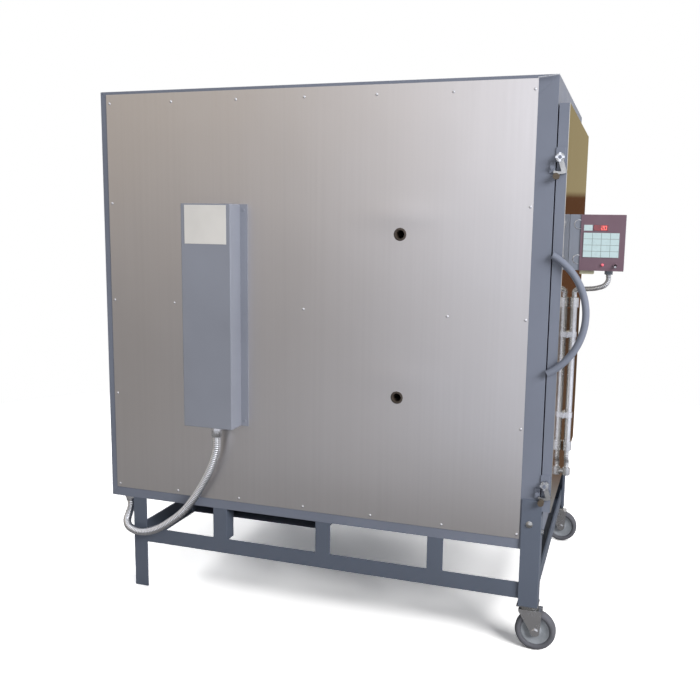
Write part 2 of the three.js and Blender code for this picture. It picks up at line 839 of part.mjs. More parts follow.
function buildPanels(cabinet) {
  const holes = peepholeHeights.map((z) => wallHole(sleeveRadius, peepholeY, z, roundSides));
  const rear = block(-rearPanelHalf, rearPanelHalf, rearFace - panelWall, rearFace, panelLow, panelHigh);
  const half = topPanelHalf;
  const top = block(-half, half, sidePanelFront, sidePanelRear, bodyTop - panelWall, bodyTop);
  const left = cut(join(sidePanel(-1), ...sideScrews(-1)), ...holes, wiringSlot());
  place(cabinet, 'side_panel_left', left, stainless());
  place(cabinet, 'side_panel_right', join(sidePanel(1), ...sideScrews(1)), stainless());
  place(cabinet, 'rear_panel', join(rear, ...rearScrews()), stainless());
  place(cabinet, 'top_panel', join(top, ...topScrews()), stainless());
}

// Wiring box and the conduit that feeds it

const entryX = boxOuter + boxDepth / 2;
const entryY = boxY - boxEntryShift;
const floorEntryX = -steelHalf + floorEntryInset;
const floorEntryY = rearFace - floorEntrySetback;

function conduitNut(x, y, from, to) {
  return bar('z', nutRadius, from, to, x, y, hexSides);
}

function conduitHole(x, y, from, to) {
  return bar('z', conduitBore, from - overrun, to + overrun, x, y, smallRoundSides);
}

function buildWiringBox(cabinet) {
  const inner = plateFace - gap;
  const top = boxLow + boxHeight;
  const half = boxWidth / 2;
  const plate = block(
    plateFace, plateFace + backPlateWall,
    boxY - half - backPlateFlange, boxY + half + backPlateFlange, boxLow, top,
  );
  const flange = half + backPlateFlange / 2;
  const screws = [boxY - flange, boxY + flange].flatMap((y) => (
    [boxLow + plateScrewRise, top - plateScrewRise].map((z) => bar(
      'x', screwRadius, plateFace - screwHeight, plateFace + backPlateWall / 2, y, z, screwSides,
    ))
  ));
  place(cabinet, 'wiring_back_plate', cut(join(plate, ...screws), wiringSlot()), greyPaint());

  const shell = block(boxOuter, inner, boxY - half, boxY + half, boxLow, top);
  const hollow = block(
    boxOuter + boxWall, inner + overrun,
    boxY - half + boxWall, boxY + half - boxWall, boxLow + boxWall, top - boxWall,
  );
  const nut = conduitNut(entryX, entryY, boxLow - nutHeight, boxLow + boxWall / 2);
  const entry = conduitHole(entryX, entryY, boxLow - nutHeight, boxLow + boxWall);
  const label = block(
    boxOuter - labelWall, boxOuter + boxWall / 2, boxY - labelWidth / 2, boxY + labelWidth / 2,
    top - labelInset - labelHeight, top - labelInset,
  );
  place(cabinet, 'wiring_cover', cut(join(cut(shell, hollow), nut, label), entry), greyPaint());
}

function buildMainConduit(cabinet) {
  const topEnd = boxLow - nutHeight;
  const floorEnd = bodyBottom - gap - nutHeight;
  const nut = conduitNut(floorEntryX, floorEntryY, floorEnd, floorEnd + nutHeight);
  const bore = conduitHole(floorEntryX, floorEntryY, floorEnd, floorEnd + nutHeight);
  place(cabinet, 'conduit_connector', cut(nut, bore), galvanized());

  const route = smooth([
    [entryX, entryY, topEnd - gap], [entryX, entryY, 498], [-464, 268, 470], [-464, 278, 436],
    [-463, 296, 395], [-461, 321, 352], [-460, 346, 314], [-459, 381, 271], [-458, 425, 234],
    [-457, 475, 202], [-455, 522, 186], [-452, 556, 186], [-444, 583, 194], [-428, 598, 206],
    [-410, 602, 222], [floorEntryX, floorEntryY, 241], [floorEntryX, floorEntryY, floorEnd - gap],
  ]);
  const stations = hoseStations(route, conduitRadius, conduitRib, conduitRibPitch);
  place(cabinet, 'main_conduit', sweep(stations, conduitSides, conduitBore, boreStep), galvanized());
}

// Stand of welded steel angle

function angleSection(u, v, du, dv, leg, wall) {
  return polygon([
    [u, v], [u + du * leg, v], [u + du * leg, v + dv * wall], [u + du * wall, v + dv * wall],
    [u + du * wall, v + dv * leg], [u, v + dv * leg],
  ]);
}

const railHigh = standRailRise + standLeg;
const rearLegFace = rearFace - rearLegInset;
const boltOnSide = steelHalf + gap + boltOnWall;
const boltOnFront = frontFace - gap - boltOnWall;

// One side of the stand: the rail, the struts that carry the body and the rear leg
function standSide(side) {
  const outer = side * steelHalf;
  const railSection = angleSection(outer, standRailRise, -side, 1, standLeg, standWall);
  const legSection = angleSection(outer, rearLegFace, -side, -1, standLeg, standWall);
  const struts = strutSetbacks.map((setback, i) => {
    const toward = strutFlangeEnds[i];
    const corner = rearFace - setback + toward * standLeg / 2;
    const section = angleSection(outer, corner, -side, -toward, standLeg, standWall);
    return prism('z', section, railHigh - standWall, bodyBottom - gap);
  });
  return join(
    prism('y', railSection, frontFace + gap, rearLegFace - standLeg + standWall),
    prism('z', legSection, 0, bodyBottom - gap), ...struts,
  );
}

// A cross rail: face is the outer face of its upright flange, inward points to the middle of the stand.
function crossStandRail(face, inward) {
  const flangeHalf = steelHalf - standWall - gap;
  const levelHalf = steelHalf - standLeg - gap;
  const levelTop = standRailRise + standWall;
  const back = face + inward * standWall;
  const tip = face + inward * standLeg;
  return join(
    block(-flangeHalf, flangeHalf, Math.min(face, back), Math.max(face, back), levelTop + gap, railHigh),
    block(-levelHalf, levelHalf, Math.min(face, back), Math.max(face, back), standRailRise, railHigh),
    block(-levelHalf, levelHalf, Math.min(face, tip), Math.max(face, tip), standRailRise, levelTop),
  );
}

// A front leg with its two bolt heads. It wraps the front post and stops short under the door.
function frontLeg(side) {
  const section = angleSection(side * boltOnSide, boltOnFront, -side, 1, boltOnLeg, boltOnWall);
  const leg = prism('z', section, casterHeight, bodyBottom + boltOnLap);
  const inner = side * (steelHalf + gap);
  const tip = side * (boltOnSide - boltOnLeg - overrun);
  const notch = block(
    Math.min(inner, tip), Math.max(inner, tip), boltOnFront - overrun, boltOnFront + boltOnWall + overrun,
    bodyBottom + boltOnFrontLap, bodyBottom + boltOnLap + overrun,
  );
  const root = side * (boltOnSide - boltOnWall / 2);
  const head = side * (boltOnSide + boltHeadHeight);
  return join(
    cut(leg, notch),
    bar(
      'x', boltHeadRadius, Math.min(root, head), Math.max(root, head),
      boltOnFront + sideBoltBack, bodyBottom + sideBoltRise, hexSides,
    ),
    bar(
      'y', boltHeadRadius, boltOnFront - boltHeadHeight, boltOnFront + boltOnWall / 2,
      side * (boltOnSide - frontBoltIn), bodyBottom + frontBoltRise, hexSides,
    ),
  );
}

function buildStand(cabinet) {
  place(cabinet, 'stand_side_left', standSide(-1), greyPaint());
  place(cabinet, 'stand_side_right', standSide(1), greyPaint());
  place(cabinet, 'stand_rail_front', crossStandRail(frontFace + gap, 1), greyPaint());
  place(cabinet, 'stand_rail_rear', crossStandRail(rearLegFace - standWall - gap, -1), greyPaint());
  place(cabinet, 'front_leg_left', frontLeg(-1), greyPaint());
  place(cabinet, 'front_leg_right', frontLeg(1), greyPaint());
}

// Casters

const crownLow = 2 * wheelRadius + wheelTopGap;
const crownHigh = crownLow + forkWall;
const forkHalf = wheelWidth / 2 + runningGap + forkWall;
const casterY = boltOnFront + casterSetback;

function casterMount(x) {
  const plateHigh = casterHeight - gap;
  const half = casterPlateSize / 2;
  const headLow = crownLow - runningGap - kingpinHeadHeight;
  return join(
    block(x - half, x + half, casterY - half, casterY + half, plateHigh - casterPlateWall, plateHigh),
    bar('z', raceRadius, crownHigh + runningGap, plateHigh - casterPlateWall / 2, x, casterY),
    bar('z', kingpinRadius, headLow, plateHigh - casterPlateWall / 2, x, casterY),
    bar('z', kingpinHeadRadius, headLow, crownLow - runningGap, x, casterY),
  );
}

function casterFork(x) {
  const wheelY = casterY - wheelTrail;
  const front = wheelY - forkTipRadius - forkWall;
  const rear = casterY + raceRadius;
  const crown = block(x - forkHalf, x + forkHalf, front, rear, crownLow, crownHigh);
  const hole = bar('z', kingpinRadius + runningGap, crownLow - overrun, crownHigh + overrun, x, casterY);
  const cheek = new THREE.Shape();
  cheek.moveTo(front, crownHigh);
  cheek.lineTo(front, crownLow - forkWall);
  cheek.lineTo(wheelY - forkTipRadius, wheelRadius);
  cheek.absarc(wheelY, wheelRadius, forkTipRadius, Math.PI, 2 * Math.PI, false);
  cheek.lineTo(rear, crownLow - forkWall);
  cheek.lineTo(rear, crownHigh);
  const cheeks = [x - forkHalf, x + forkHalf - forkWall].map((from) => (
    prism('x', cheek, from, from + forkWall)
  ));
  const headReach = forkHalf + axleHeadHeight;
  return join(
    cut(crown, hole), ...cheeks,
    bar('x', axleRadius, x - headReach, x + headReach, wheelY, wheelRadius),
    bar('x', axleHeadRadius, x - headReach, x - forkHalf, wheelY, wheelRadius, hexSides),
    bar('x', axleHeadRadius, x + forkHalf, x + headReach, wheelY, wheelRadius, hexSides),
  );
}

function casterWheel(x) {
  const y = casterY - wheelTrail;
  const half = wheelWidth / 2;
  const tyre = bar('x', wheelRadius, x - half, x + half, y, wheelRadius, wheelSides);
  const dish = (from, to) => {
    const face = ring(disc(wheelRadius - treadInset, y, wheelRadius), disc(hubRadius, y, wheelRadius));
    return prism('x', face, from, to, wheelSides);
  };
  return cut(
    tyre, bar('x', axleRadius + runningGap, x - half - overrun, x + half + overrun, y, wheelRadius),
    dish(x - half - overrun, x - half + treadDish), dish(x + half - treadDish, x + half + overrun),
  );
}

function buildCasters(cabinet) {
  for (const side of [-1, 1]) {
    const hand = side < 0 ? 'left' : 'right';
    const x = side * (boltOnSide - casterInset);
    const swivel = pivot(cabinet, x, casterY, casterHeight);
    const roll = pivot(swivel, x, casterY - wheelTrail, wheelRadius);
    place(cabinet, `caster_mount_${hand}`, casterMount(x), zinc());
    place(swivel, `caster_fork_${hand}`, casterFork(x), zinc());
    place(roll, `caster_wheel_${hand}`, casterWheel(x), greyRubber());
  }
}

// Door

const doorLeft = -halfWidth + doorLeftMargin;
const doorRight = halfWidth - doorRightMargin;
const doorLow = bodyBottom + doorBottomRise;
const doorHigh = bodyTop - doorTopDrop;
const doorBack = frontFace - doorStandOff;
const doorFrameFront = doorBack - doorFrameDepth;
const doorFace = doorFrameFront - gap - doorSkinWall;
const hingeX = steelHalf - hingeAxisIn;
const hingeY = frontFace - hingeAxisOut;
const hingeHeights = [doorLow + hingeInset, doorHigh - hingeInset];
const latchHeights = [doorLow + lowerLatchRise, doorHigh - upperLatchDrop];

// A block whose rear face is smaller than its front face by the taper on every side
function taperedBlock(x0, x1, y0, y1, z0, z1, taper) {
  const geometry = block(x0, x1, y0, y1, z0, z1);
  const positions = geometry.getAttribute('position');
  for (let i = 0; i < positions.count; i += 1) {
    if (positions.getY(i) > (y0 + y1) / 2) {
      positions.setX(i, positions.getX(i) - Math.sign(positions.getX(i) - (x0 + x1) / 2) * taper);
      positions.setZ(i, positions.getZ(i) - Math.sign(positions.getZ(i) - (z0 + z1) / 2) * taper);
    }
  }
  return geometry;
}

function buildDoorPanel(door) {
  const inset = doorFrameWidth;
  const frame = prism('y', ring(
    rectangle(doorLeft, doorRight, doorLow, doorHigh),
    rectangle(doorLeft + inset, doorRight - inset, doorLow + inset, doorHigh - inset),
  ), doorFrameFront, doorBack);
  const skin = block(doorLeft, doorRight, doorFace, doorFace + doorSkinWall, doorLow, doorHigh);
  const fill = inset + gap;
  const brickBack = block(
    doorLeft + fill, doorRight - fill, doorFrameFront, doorBack, doorLow + fill, doorHigh - fill,
  );
  const plug = taperedBlock(
    -chamberHalf + plugGap, chamberHalf - plugGap, (doorFrameFront + doorBack) / 2, frontFace + plugDepth,
    chamberFloor + plugGap, chamberTop - plugGap, plugTaper,
  );
  const openHalf = steelHalf - frontPostLeg;
  const openLow = bodyBottom + bottomFrontFlange;
  const openHigh = steelTop - topFrontFlange;
  const near = sealOffset;
  const far = sealOffset + sealWidth;
  const seal = prism('y', ring(
    rectangle(-openHalf - far, openHalf + far, openLow - far, openHigh + far),
    rectangle(-openHalf - near, openHalf + near, openLow - near, openHigh + near),
  ), doorBack + gap, frontFace - gap);
  const fittings = [...latchHeights.map(latchPlate), ...hingeHeights.map(hingeDoorHalf)];
  const bores = hingeHeights.map((z) => hingeBore(z));
  place(door, 'door_frame', cut(join(frame, ...fittings), ...bores), greyPaint());
  place(door, 'door_skin', skin, stainless());
  place(door, 'door_bricks', join(brickBack, plug), firebrick());
  place(door, 'door_seal', seal, fibre());
}

function hingeBodyHalf(z) {
  const low = z - knuckleLength;
  const footBack = frontFace - gap;
  const footFront = footBack - footWall;
  const footLeft = hingeX - barrelRadius / 2;
  const foot = block(footLeft, footLeft + footWidth, footFront, footBack, low, z);
  const web = block(
    footLeft, footLeft + barrelRadius, hingeY, footFront + footWall / 2, low, z - knuckleGap,
  );
  return join(
    bar('z', barrelRadius, low, z - knuckleGap, hingeX, hingeY),
    bar('z', hingePinRadius, low, z + knuckleLength, hingeX, hingeY), foot, web,
  );
}

function hingeDoorHalf(z) {
  const leaf = block(
    doorRight - leafWall, doorRight + leafWall,
    doorFrameFront, doorFrameFront + 2 * barrelRadius, z, z + knuckleLength,
  );
  return join(bar('z', barrelRadius, z, z + knuckleLength, hingeX, hingeY), leaf);
}

function hingeBore(z) {
  return bar('z', hingePinRadius + hingePinGap, z - overrun, z + knuckleLength + overrun, hingeX, hingeY);
}

function buildHandle(door) {
  const x = doorLeft - gap - handleRadius;
  const z = (doorLow + doorHigh) / 2;
  const endY = doorBack - handleEndOut;
  const centreY = endY + Math.sqrt(handleBend ** 2 - handleHalfSpread ** 2);
  const sweepAngle = Math.asin(handleHalfSpread / handleBend);
  const bow = smooth(spread(-sweepAngle, sweepAngle, handlePoints).map((turn) => (
    [x, centreY - handleBend * Math.cos(turn), z + handleBend * Math.sin(turn)]
  )));
  place(door, 'door_handle', tube(bow, handleRadius, smallRoundSides, handleSteps), greyPaint());
}

// Side latches: a hooked lever on the door closes round a headed stud on the body.
// Angles are in degrees below level, towards the body. The levers are drawn released.

const sideX = -steelHalf - gap;
const leverInner = sideX - keeperWall - gap;
const leverOuter = leverInner - leverWall;
const latchY = doorBack - latchPivotOut;

function below(pivotZ, angle, radius) {
  const turn = THREE.MathUtils.degToRad(angle);
  return [latchY + radius * Math.cos(turn), pivotZ - radius * Math.sin(turn)];
}

// A straight strip of the lever from one radius to another along an angle
function strip(pivotZ, angle, from, to, width) {
  const side = angle + 90;
  const [offY, offZ] = below(pivotZ, side, width / 2);
  const shift = [offY - latchY, offZ - pivotZ];
  const [y0, z0] = below(pivotZ, angle, from);
  const [y1, z1] = below(pivotZ, angle, to);
  return polygon([
    [y0 - shift[0], z0 - shift[1]], [y0 + shift[0], z0 + shift[1]],
    [y1 + shift[0], z1 + shift[1]], [y1 - shift[0], z1 - shift[1]],
  ]);
}

function latchLever(z) {
  const fingerInner = hookSlotRadius + hookSlotWidth / 2;
  const fingerOuter = fingerInner + hookFingerWidth;
  const root = -THREE.MathUtils.degToRad(hookRootAngle);
  const tip = -THREE.MathUtils.degToRad(hookTipAngle);
  const finger = new THREE.Shape();
  finger.absarc(latchY, z, fingerOuter, root, tip, false);
  finger.absarc(latchY, z, fingerInner, tip, root, true);
  const flats = [
    disc(leverHubRadius, latchY, z), strip(z, hookRootAngle, 0, fingerOuter, leverArmWidth), finger,
    strip(z, gripAngle, fingerInner + hookFingerWidth / 4, leverTabReach, leverArmWidth),
  ];
  const [gripY, gripZ] = below(z, gripAngle, gripReach);
  const gripFrom = leverOuter + leverWall / 5;
  const radius = pivotRadius + gap;
  const bore = bar('x', radius, leverOuter - overrun, leverInner + overrun, latchY, z, smallRoundSides);
  return cut(join(
    ...flats.map((flat) => prism('x', flat, leverOuter, leverInner)),
    bar('x', gripRadius, gripFrom - gripLength, gripFrom, gripY, gripZ, smallRoundSides),
  ), bore);
}

function latchKnob(z) {
  const outer = leverOuter - gap - knobHeight;
  const inner = leverOuter - gap;
  const lobes = range(knobLobes).map((i) => prism(
    'x', strip(z, i * 360 / knobLobes, 0, knobReach, knobWaist), outer, inner,
  ));
  const radius = pivotRadius + gap;
  const bore = bar('x', radius, outer - overrun, inner + overrun, latchY, z, smallRoundSides);
  const hub = bar('x', knobReach * knobHubShare, outer, inner, latchY, z, smallRoundSides);
  return cut(join(hub, ...lobes), bore);
}

function latchPlate(z) {
  const plateOuter = doorLeft - gap - latchPlateWall;
  const half = latchPlateWidth / 2;
  return join(
    block(
      plateOuter, doorLeft + latchPlateWall, latchY - half, latchY + half, z - half, z + latchPlateTail,
    ),
    bar('x', pivotRadius, plateOuter - pivotReach, doorLeft, latchY, z, smallRoundSides),
  );
}

function latchKeeper(z) {
  const [studY, studZ] = below(z, studAngle, hookSlotRadius);
  const plateOuter = sideX - keeperWall;
  const headInner = leverOuter - gap;
  const width = keeperWidth / 2;
  const height = keeperHeight / 2;
  return join(
    block(
      plateOuter, -steelHalf + keeperWall, studY - width, studY + width, studZ - height, studZ + height,
    ),
    bar('x', studRadius, headInner - studHeadWall / 2, sideX, studY, studZ, smallRoundSides),
    bar('x', studHeadRadius, headInner - studHeadWall, headInner, studY, studZ, smallRoundSides),
  );
}

function buildLatches(door) {
  latchHeights.forEach((z, i) => {
    const end = i ? 'top' : 'bottom';
    const swing = pivot(door, leverInner, latchY, z);
    const spin = pivot(door, leverOuter, latchY, z);
    place(swing, `latch_lever_${end}`, latchLever(z), zinc());
    place(spin, `latch_knob_${end}`, latchKnob(z), zinc());
  });
}

// Controller: a box on the door that faces left, with its plate, keypad, display, lamp and switch

const plateFront = doorLeft + controllerSetIn;
const plateRear = plateFront + facePlateWall;
const shellFront = plateRear + gap;
const shellRear = plateFront + controllerDepth;
const controllerInner = doorFace - gap;
const controllerOuter = controllerInner - controllerWidth;
const controllerHigh = doorHigh - controllerDrop;
const controllerLow = controllerHigh - controllerHeight;
const switchY = controllerOuter + switchOut;
const switchZ = controllerLow + switchRise;
const whipX = plateFront + whipBack;
const whipY = controllerOuter + whipOut;
const whipEnd = controllerLow - whipNutHeight;

function buildController(door) {
  const wall = controllerWall;
  const low = controllerLow;
  const shell = block(shellFront, shellRear, controllerOuter, controllerInner, low, controllerHigh);
  const hollow = block(
    shellFront + wall, shellRear - wall, controllerOuter + wall, controllerInner - wall,
    controllerLow + wall, controllerHigh - wall,
  );
  const opening = block(
    shellFront - overrun, shellFront + wall + overrun, controllerOuter + faceRim,
    controllerOuter + facePlateWidth - faceRim, controllerLow + faceRim, controllerHigh - faceRim,
  );
  const gland = bar('z', elbowRadius, whipEnd, low + wall / 2, whipX, whipY, hexSides);
  const whipHole = bar('z', tailBore, whipEnd - overrun, low + overrun, whipX, whipY, smallRoundSides);
  const housing = cut(join(cut(shell, hollow, opening), gland), whipHole);
  place(door, 'controller_housing', housing, housingGrey());

  const plate = block(
    plateFront, plateRear, controllerOuter, controllerOuter + facePlateWidth, controllerLow, controllerHigh,
  );
  const collarFront = plateFront - switchCollarHeight;
  const collar = bar('x', switchCollarRadius, collarFront, plateRear - facePlateWall / 2, switchY, switchZ);
  const bore = bar('x', switchBore, collarFront - overrun, plateRear + overrun, switchY, switchZ);
  const keypadY = controllerOuter + keypadOut;
  const keypadZ = controllerLow + keypadRise;
  const keypad = block(
    plateFront - keypadWall, plateRear, keypadY, keypadY + keypadWidth, keypadZ, keypadZ + keypadHeight,
  );
  place(door, 'controller_faceplate', cut(join(plate, collar, keypad), bore), maroonFace());

  const onPlate = plateFront - gap;
  const displayY = controllerOuter + displayOut;
  const displayZ = controllerLow + displayRise;
  place(door, 'display_window', block(
    onPlate - displayWall, onPlate, displayY, displayY + displayWidth, displayZ, displayZ + displayHeight,
  ), displayRed());
  place(door, 'pilot_lamp', bar(
    'x', lampRadius, onPlate - lampReach, onPlate, controllerOuter + lampOut, controllerLow + lampRise,
    smallRoundSides,
  ), lampRed());
}

// The circuit board stands on four pillars from the rear of the housing and carries its relays.
function buildBoard(door) {
  const seat = shellRear - controllerWall - gap;
  const boardRear = seat - boardStandOff;
  const boardFront = boardRear - boardWall;
  const y0 = controllerOuter + controllerWall + boardMargin;
  const y1 = controllerInner - controllerWall - boardMargin;
  const z0 = controllerLow + controllerWall + boardMargin;
  const z1 = controllerHigh - controllerWall - boardMargin;
  const pillarFront = boardFront + boardWall / 2;
  const pillars = [y0 + boardMargin, y1 - boardMargin].flatMap((y) => (
    [z0 + boardMargin, z1 - boardMargin].map((z) => (
      bar('x', pillarRadius, pillarFront, seat, y, z, screwSides)
    ))
  ));
  const relays = spread(z0 + relaySize, z1 - relaySize, relayCount).map((z) => block(
    boardFront - relaySize, boardFront + boardWall / 2, y1 - 2 * relaySize, y1 - relaySize,
    z - relaySize / 2, z + relaySize / 2,
  ));
  const board = join(block(boardFront, boardRear, y0, y1, z0, z1), ...pillars, ...relays);
  place(door, 'controller_board', board, boardGreen());
}

// The toggle is drawn tipped down, turned about its ball in the collar.
function buildSwitch(door) {
  const flip = pivot(door, plateFront, switchY, switchZ);
  const tip = plateFront - switchReach;
  const sides = smallRoundSides;
  const stem = join(
    bar('x', switchRadius, tip, plateFront + switchRadius, switchY, switchZ, sides),
    bar('x', switchTipRadius, tip, tip + switchTipRadius, switchY, switchZ, sides),
  );
  stem.translate(-plateFront, -switchY, -switchZ);
  stem.rotateY(THREE.MathUtils.degToRad(-switchTilt));
  stem.translate(plateFront, switchY, switchZ);
  place(flip, 'power_switch', stem, darkPlastic());
}

// Conduit from the controller down the door

const tubeX = doorLeft + doorTubeInset;
const tubeY = doorFace - doorTubeStandOff;
const tubeLow = doorLow + doorTubeLow;
const tubeHigh = controllerLow - doorTubeDrop;
const elbowX = tubeX + elbowShift;
const elbowZ = doorLow + tailRise;

// A saddle over the tube with an ear on each side against the door
function strap(z) {
  const outer = doorTubeRadius + strapWall;
  const seat = doorFace - gap;
  const low = z - strapWidth / 2;
  const high = z + strapWidth / 2;
  return join(
    bar('z', outer, low, high, tubeX, tubeY),
    block(tubeX - outer, tubeX + outer, tubeY, seat, low, high),
    block(tubeX - outer - strapEar, tubeX + outer + strapEar, seat - strapWall, seat, low, high),
  );
}

function elbow() {
  const top = elbowZ + elbowRadius;
  const socket = bar('z', elbowRadius, elbowZ - elbowRadius, top, elbowX, tubeY, smallRoundSides);
  const spout = bar('y', tailRadius, tubeY, doorFace - gap, elbowX, elbowZ, smallRoundSides);
  const bore = bar('z', tailBore, elbowZ, top + overrun, elbowX, tubeY, smallRoundSides);
  return cut(join(socket, spout), bore);
}

// A hose from one end to the other, with its points between them as offsets from its first end
function hose([x, y, z], offsets, end) {
  const points = [[x, y, z], ...offsets.map(([dx, dy, dz]) => [x + dx, y + dy, z + dz]), ...end];
  const stations = hoseStations(smooth(points), tailRadius, tailRib, tailRibPitch);
  return sweep(stations, conduitSides, tailBore, boreStep);
}

function buildDoorConduit(door) {
  const low = tubeLow - couplingHeight;
  const high = tubeHigh + couplingHeight;
  const run = join(
    bar('z', doorTubeRadius, low, high, tubeX, tubeY),
    bar('z', couplingRadius, low, tubeLow, tubeX, tubeY),
    bar('z', couplingRadius, tubeHigh, high, tubeX, tubeY),
    ...strapShares.map((share) => strap(tubeLow + share * (tubeHigh - tubeLow))),
  );
  const inside = bar('z', tailRadius, tubeLow, tubeHigh, tubeX, tubeY, smallRoundSides);
  const through = bar('z', tailBore, low - overrun, high + overrun, tubeX, tubeY, smallRoundSides);
  place(door, 'door_conduit_tube', cut(run, inside, through), galvanized());
  place(door, 'door_conduit_elbow', elbow(), galvanized());
  const upperOffsets = [
    [0, 0, -15.7], [1.4, 7.8, -28.7], [11.4, 27.8, -37.7], [31.4, 55.8, -42.7], [50.4, 78.8, -45.7],
    [61, 89.9, -53.7],
  ];
  const lowerOffsets = [[0, 0, -15.7], [4.4, 0, -27.7], [17.4, 0, -35.7], [22.7, 0, -44.7]];
  place(door, 'door_flex_upper', hose(
    [whipX, whipY, whipEnd - gap], upperOffsets, [[tubeX, tubeY, high + gap]],
  ), galvanized());
  place(door, 'door_flex_lower', hose(
    [tubeX, tubeY, low - gap], lowerOffsets, [[elbowX, tubeY, elbowZ + elbowRadius + gap]],
  ), galvanized());
}

const kiln = new THREE.Group();
const cabinet = groupAt(kiln, 0, 0, 0);
buildFrame(cabinet);
buildDeck(cabinet);
buildLining(cabinet);
buildHeating(cabinet);
buildPanels(cabinet);
buildWiringBox(cabinet);
buildMainConduit(cabinet);
buildStand(cabinet);
buildCasters(cabinet);

const door = pivot(kiln, hingeX, hingeY, 0);
buildDoorPanel(door);
buildHandle(door);
buildController(door);
buildBoard(door);
buildSwitch(door);
buildDoorConduit(door);
buildLatches(door);
hingeHeights.forEach((z, i) => {
  place(cabinet, `hinge_${i ? 'upper' : 'lower'}`, hingeBodyHalf(z), greyPaint());
});

// The origin is on the floor, under the middle of the whole object.
const bounds = new THREE.Box3().setFromObject(kiln);
const middle = bounds.getCenter(new THREE.Vector3());
kiln.position.set(-middle.x, -middle.y, -bounds.min.z);

export default kiln;
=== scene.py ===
"""Front-loading electric kiln: finishes, sheets, hoses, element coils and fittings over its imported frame."""

import json
import math

import bmesh
import bpy
from bpy.props import FloatProperty, FloatVectorProperty, IntProperty, PointerProperty
from mathutils import Matrix, Vector, noise

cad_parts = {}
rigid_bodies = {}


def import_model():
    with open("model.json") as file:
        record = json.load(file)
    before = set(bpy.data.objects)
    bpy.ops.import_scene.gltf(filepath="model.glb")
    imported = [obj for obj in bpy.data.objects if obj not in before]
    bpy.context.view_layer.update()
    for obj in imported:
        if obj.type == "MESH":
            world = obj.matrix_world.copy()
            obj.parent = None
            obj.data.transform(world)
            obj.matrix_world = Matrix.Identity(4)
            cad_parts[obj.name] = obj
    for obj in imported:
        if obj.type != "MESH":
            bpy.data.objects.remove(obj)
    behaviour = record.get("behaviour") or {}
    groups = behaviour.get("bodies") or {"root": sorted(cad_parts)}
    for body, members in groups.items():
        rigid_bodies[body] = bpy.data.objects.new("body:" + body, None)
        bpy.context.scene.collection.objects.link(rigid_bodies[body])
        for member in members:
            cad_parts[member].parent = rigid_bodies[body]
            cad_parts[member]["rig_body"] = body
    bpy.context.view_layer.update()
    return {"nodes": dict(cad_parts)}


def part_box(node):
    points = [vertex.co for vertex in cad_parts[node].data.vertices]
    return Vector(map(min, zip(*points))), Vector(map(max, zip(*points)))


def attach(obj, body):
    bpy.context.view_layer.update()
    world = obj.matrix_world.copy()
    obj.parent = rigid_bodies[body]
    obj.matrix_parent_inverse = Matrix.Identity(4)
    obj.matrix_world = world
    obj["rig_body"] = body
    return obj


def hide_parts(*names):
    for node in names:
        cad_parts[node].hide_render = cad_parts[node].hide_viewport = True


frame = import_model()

bl_info = {
    "name": "Front-loading kiln",
    "version": (1, 0, 0),
    "blender": (4, 5, 0),
    "location": "View3D > Sidebar > Kiln",
    "description": "Dresses the packed frame of a front-loading electric kiln",
    "category": "Object",
}

MM = 0.001
TURN = 2 * math.pi

# The part's own middle, from which its routes are measured, lies here in the frame
PART_MIDDLE = Vector((0.0265, 0.08435, 0.0))

# Sizes that the pieces share
PANEL_WALL = 1.0 * MM
SCREW_RADIUS = 4.0 * MM
SCREW_HEIGHT = 1.6 * MM
SCREW_RIM = 0.3 * MM
SCREW_SHOULDER = 0.75 * MM
SCREW_DOME = 1.3 * MM
SCREW_RECESS = 1.15 * MM
WELD_GAP = 0.01 * MM
FLAT_ANGLE = math.radians(0.6)
ROUNDED_ANGLE = math.radians(35)
SHARP_ANGLE = math.radians(50)
SCREW_LIFT = 0.2 * MM
SEAT = 0.05 * MM
ORIGIN = (0, 0, 0)
UP = (0, 0, 1)

# How far the edges of the pieces are rounded, apart from the steel angle
HAIR_EDGE = 0.12 * MM
GLASS_EDGE = 0.2 * MM
SMALL_EDGE = 0.3 * MM
THIN_EDGE = 0.5 * MM
PLATED_EDGE = 0.6 * MM
FIRED_EDGE = 0.8 * MM
FOLDED_EDGE = 0.9 * MM
CAST_EDGE = 1.0 * MM
KNOB_EDGE = 1.2 * MM
CLAMP_EDGE = 1.4 * MM
BRICK_EDGE = 1.8 * MM


def linear(red, green, blue):
    """A colour as it reads on a screen, out of 255, as the linear values a shader takes."""
    return tuple(
        value / 12.92 if value <= 0.04045 else ((value + 0.055) / 1.055) ** 2.4
        for value in (red / 255, green / 255, blue / 255)
    )


def opaque(red, green, blue):
    return (*linear(red, green, blue), 1.0)


# Sizes and colours that a user would change


def length_property(name, description, millimetres):
    return FloatProperty(name=name, description=description, default=millimetres * MM, unit="LENGTH")


class KilnSizes(bpy.types.PropertyGroup):
    edge_rounding: length_property("Edge rounding", "Radius on the edges of the steel angle", 1.0)
    sheet_bow: length_property("Sheet bow", "Bulge of the thin stainless sheets between their screws", 0.9)
    conduit_radius: length_property("Conduit radius", "Outer radius of the wiring box's conduit", 12.0)
    conduit_rib_pitch: length_property("Conduit rib pitch", "From one rib of that conduit to the next", 5.6)
    whip_radius: length_property("Door conduit radius", "Outer radius of the door's flexible conduit", 7.0)
    whip_rib_pitch: length_property("Door conduit rib pitch", "From one rib of that conduit to the next", 4.4)
    coil_pitch: length_property("Coil pitch", "From one turn of an element coil to the next", 7.0)
    brick_length: length_property("Brick length", "Length of a firebrick of the lining", 229.0)
    key_columns: IntProperty(
        name="Key columns", description="Columns of keys on the keypad", default=4, min=1,
    )
    key_rows: IntProperty(
        name="Key rows", description="Rows of keys on the keypad", default=4, min=1,
    )


def colour_property(name, description, shown):
    return FloatVectorProperty(
        name=name, description=description, subtype="COLOR", size=3, min=0.0, max=1.0, default=linear(*shown),
    )


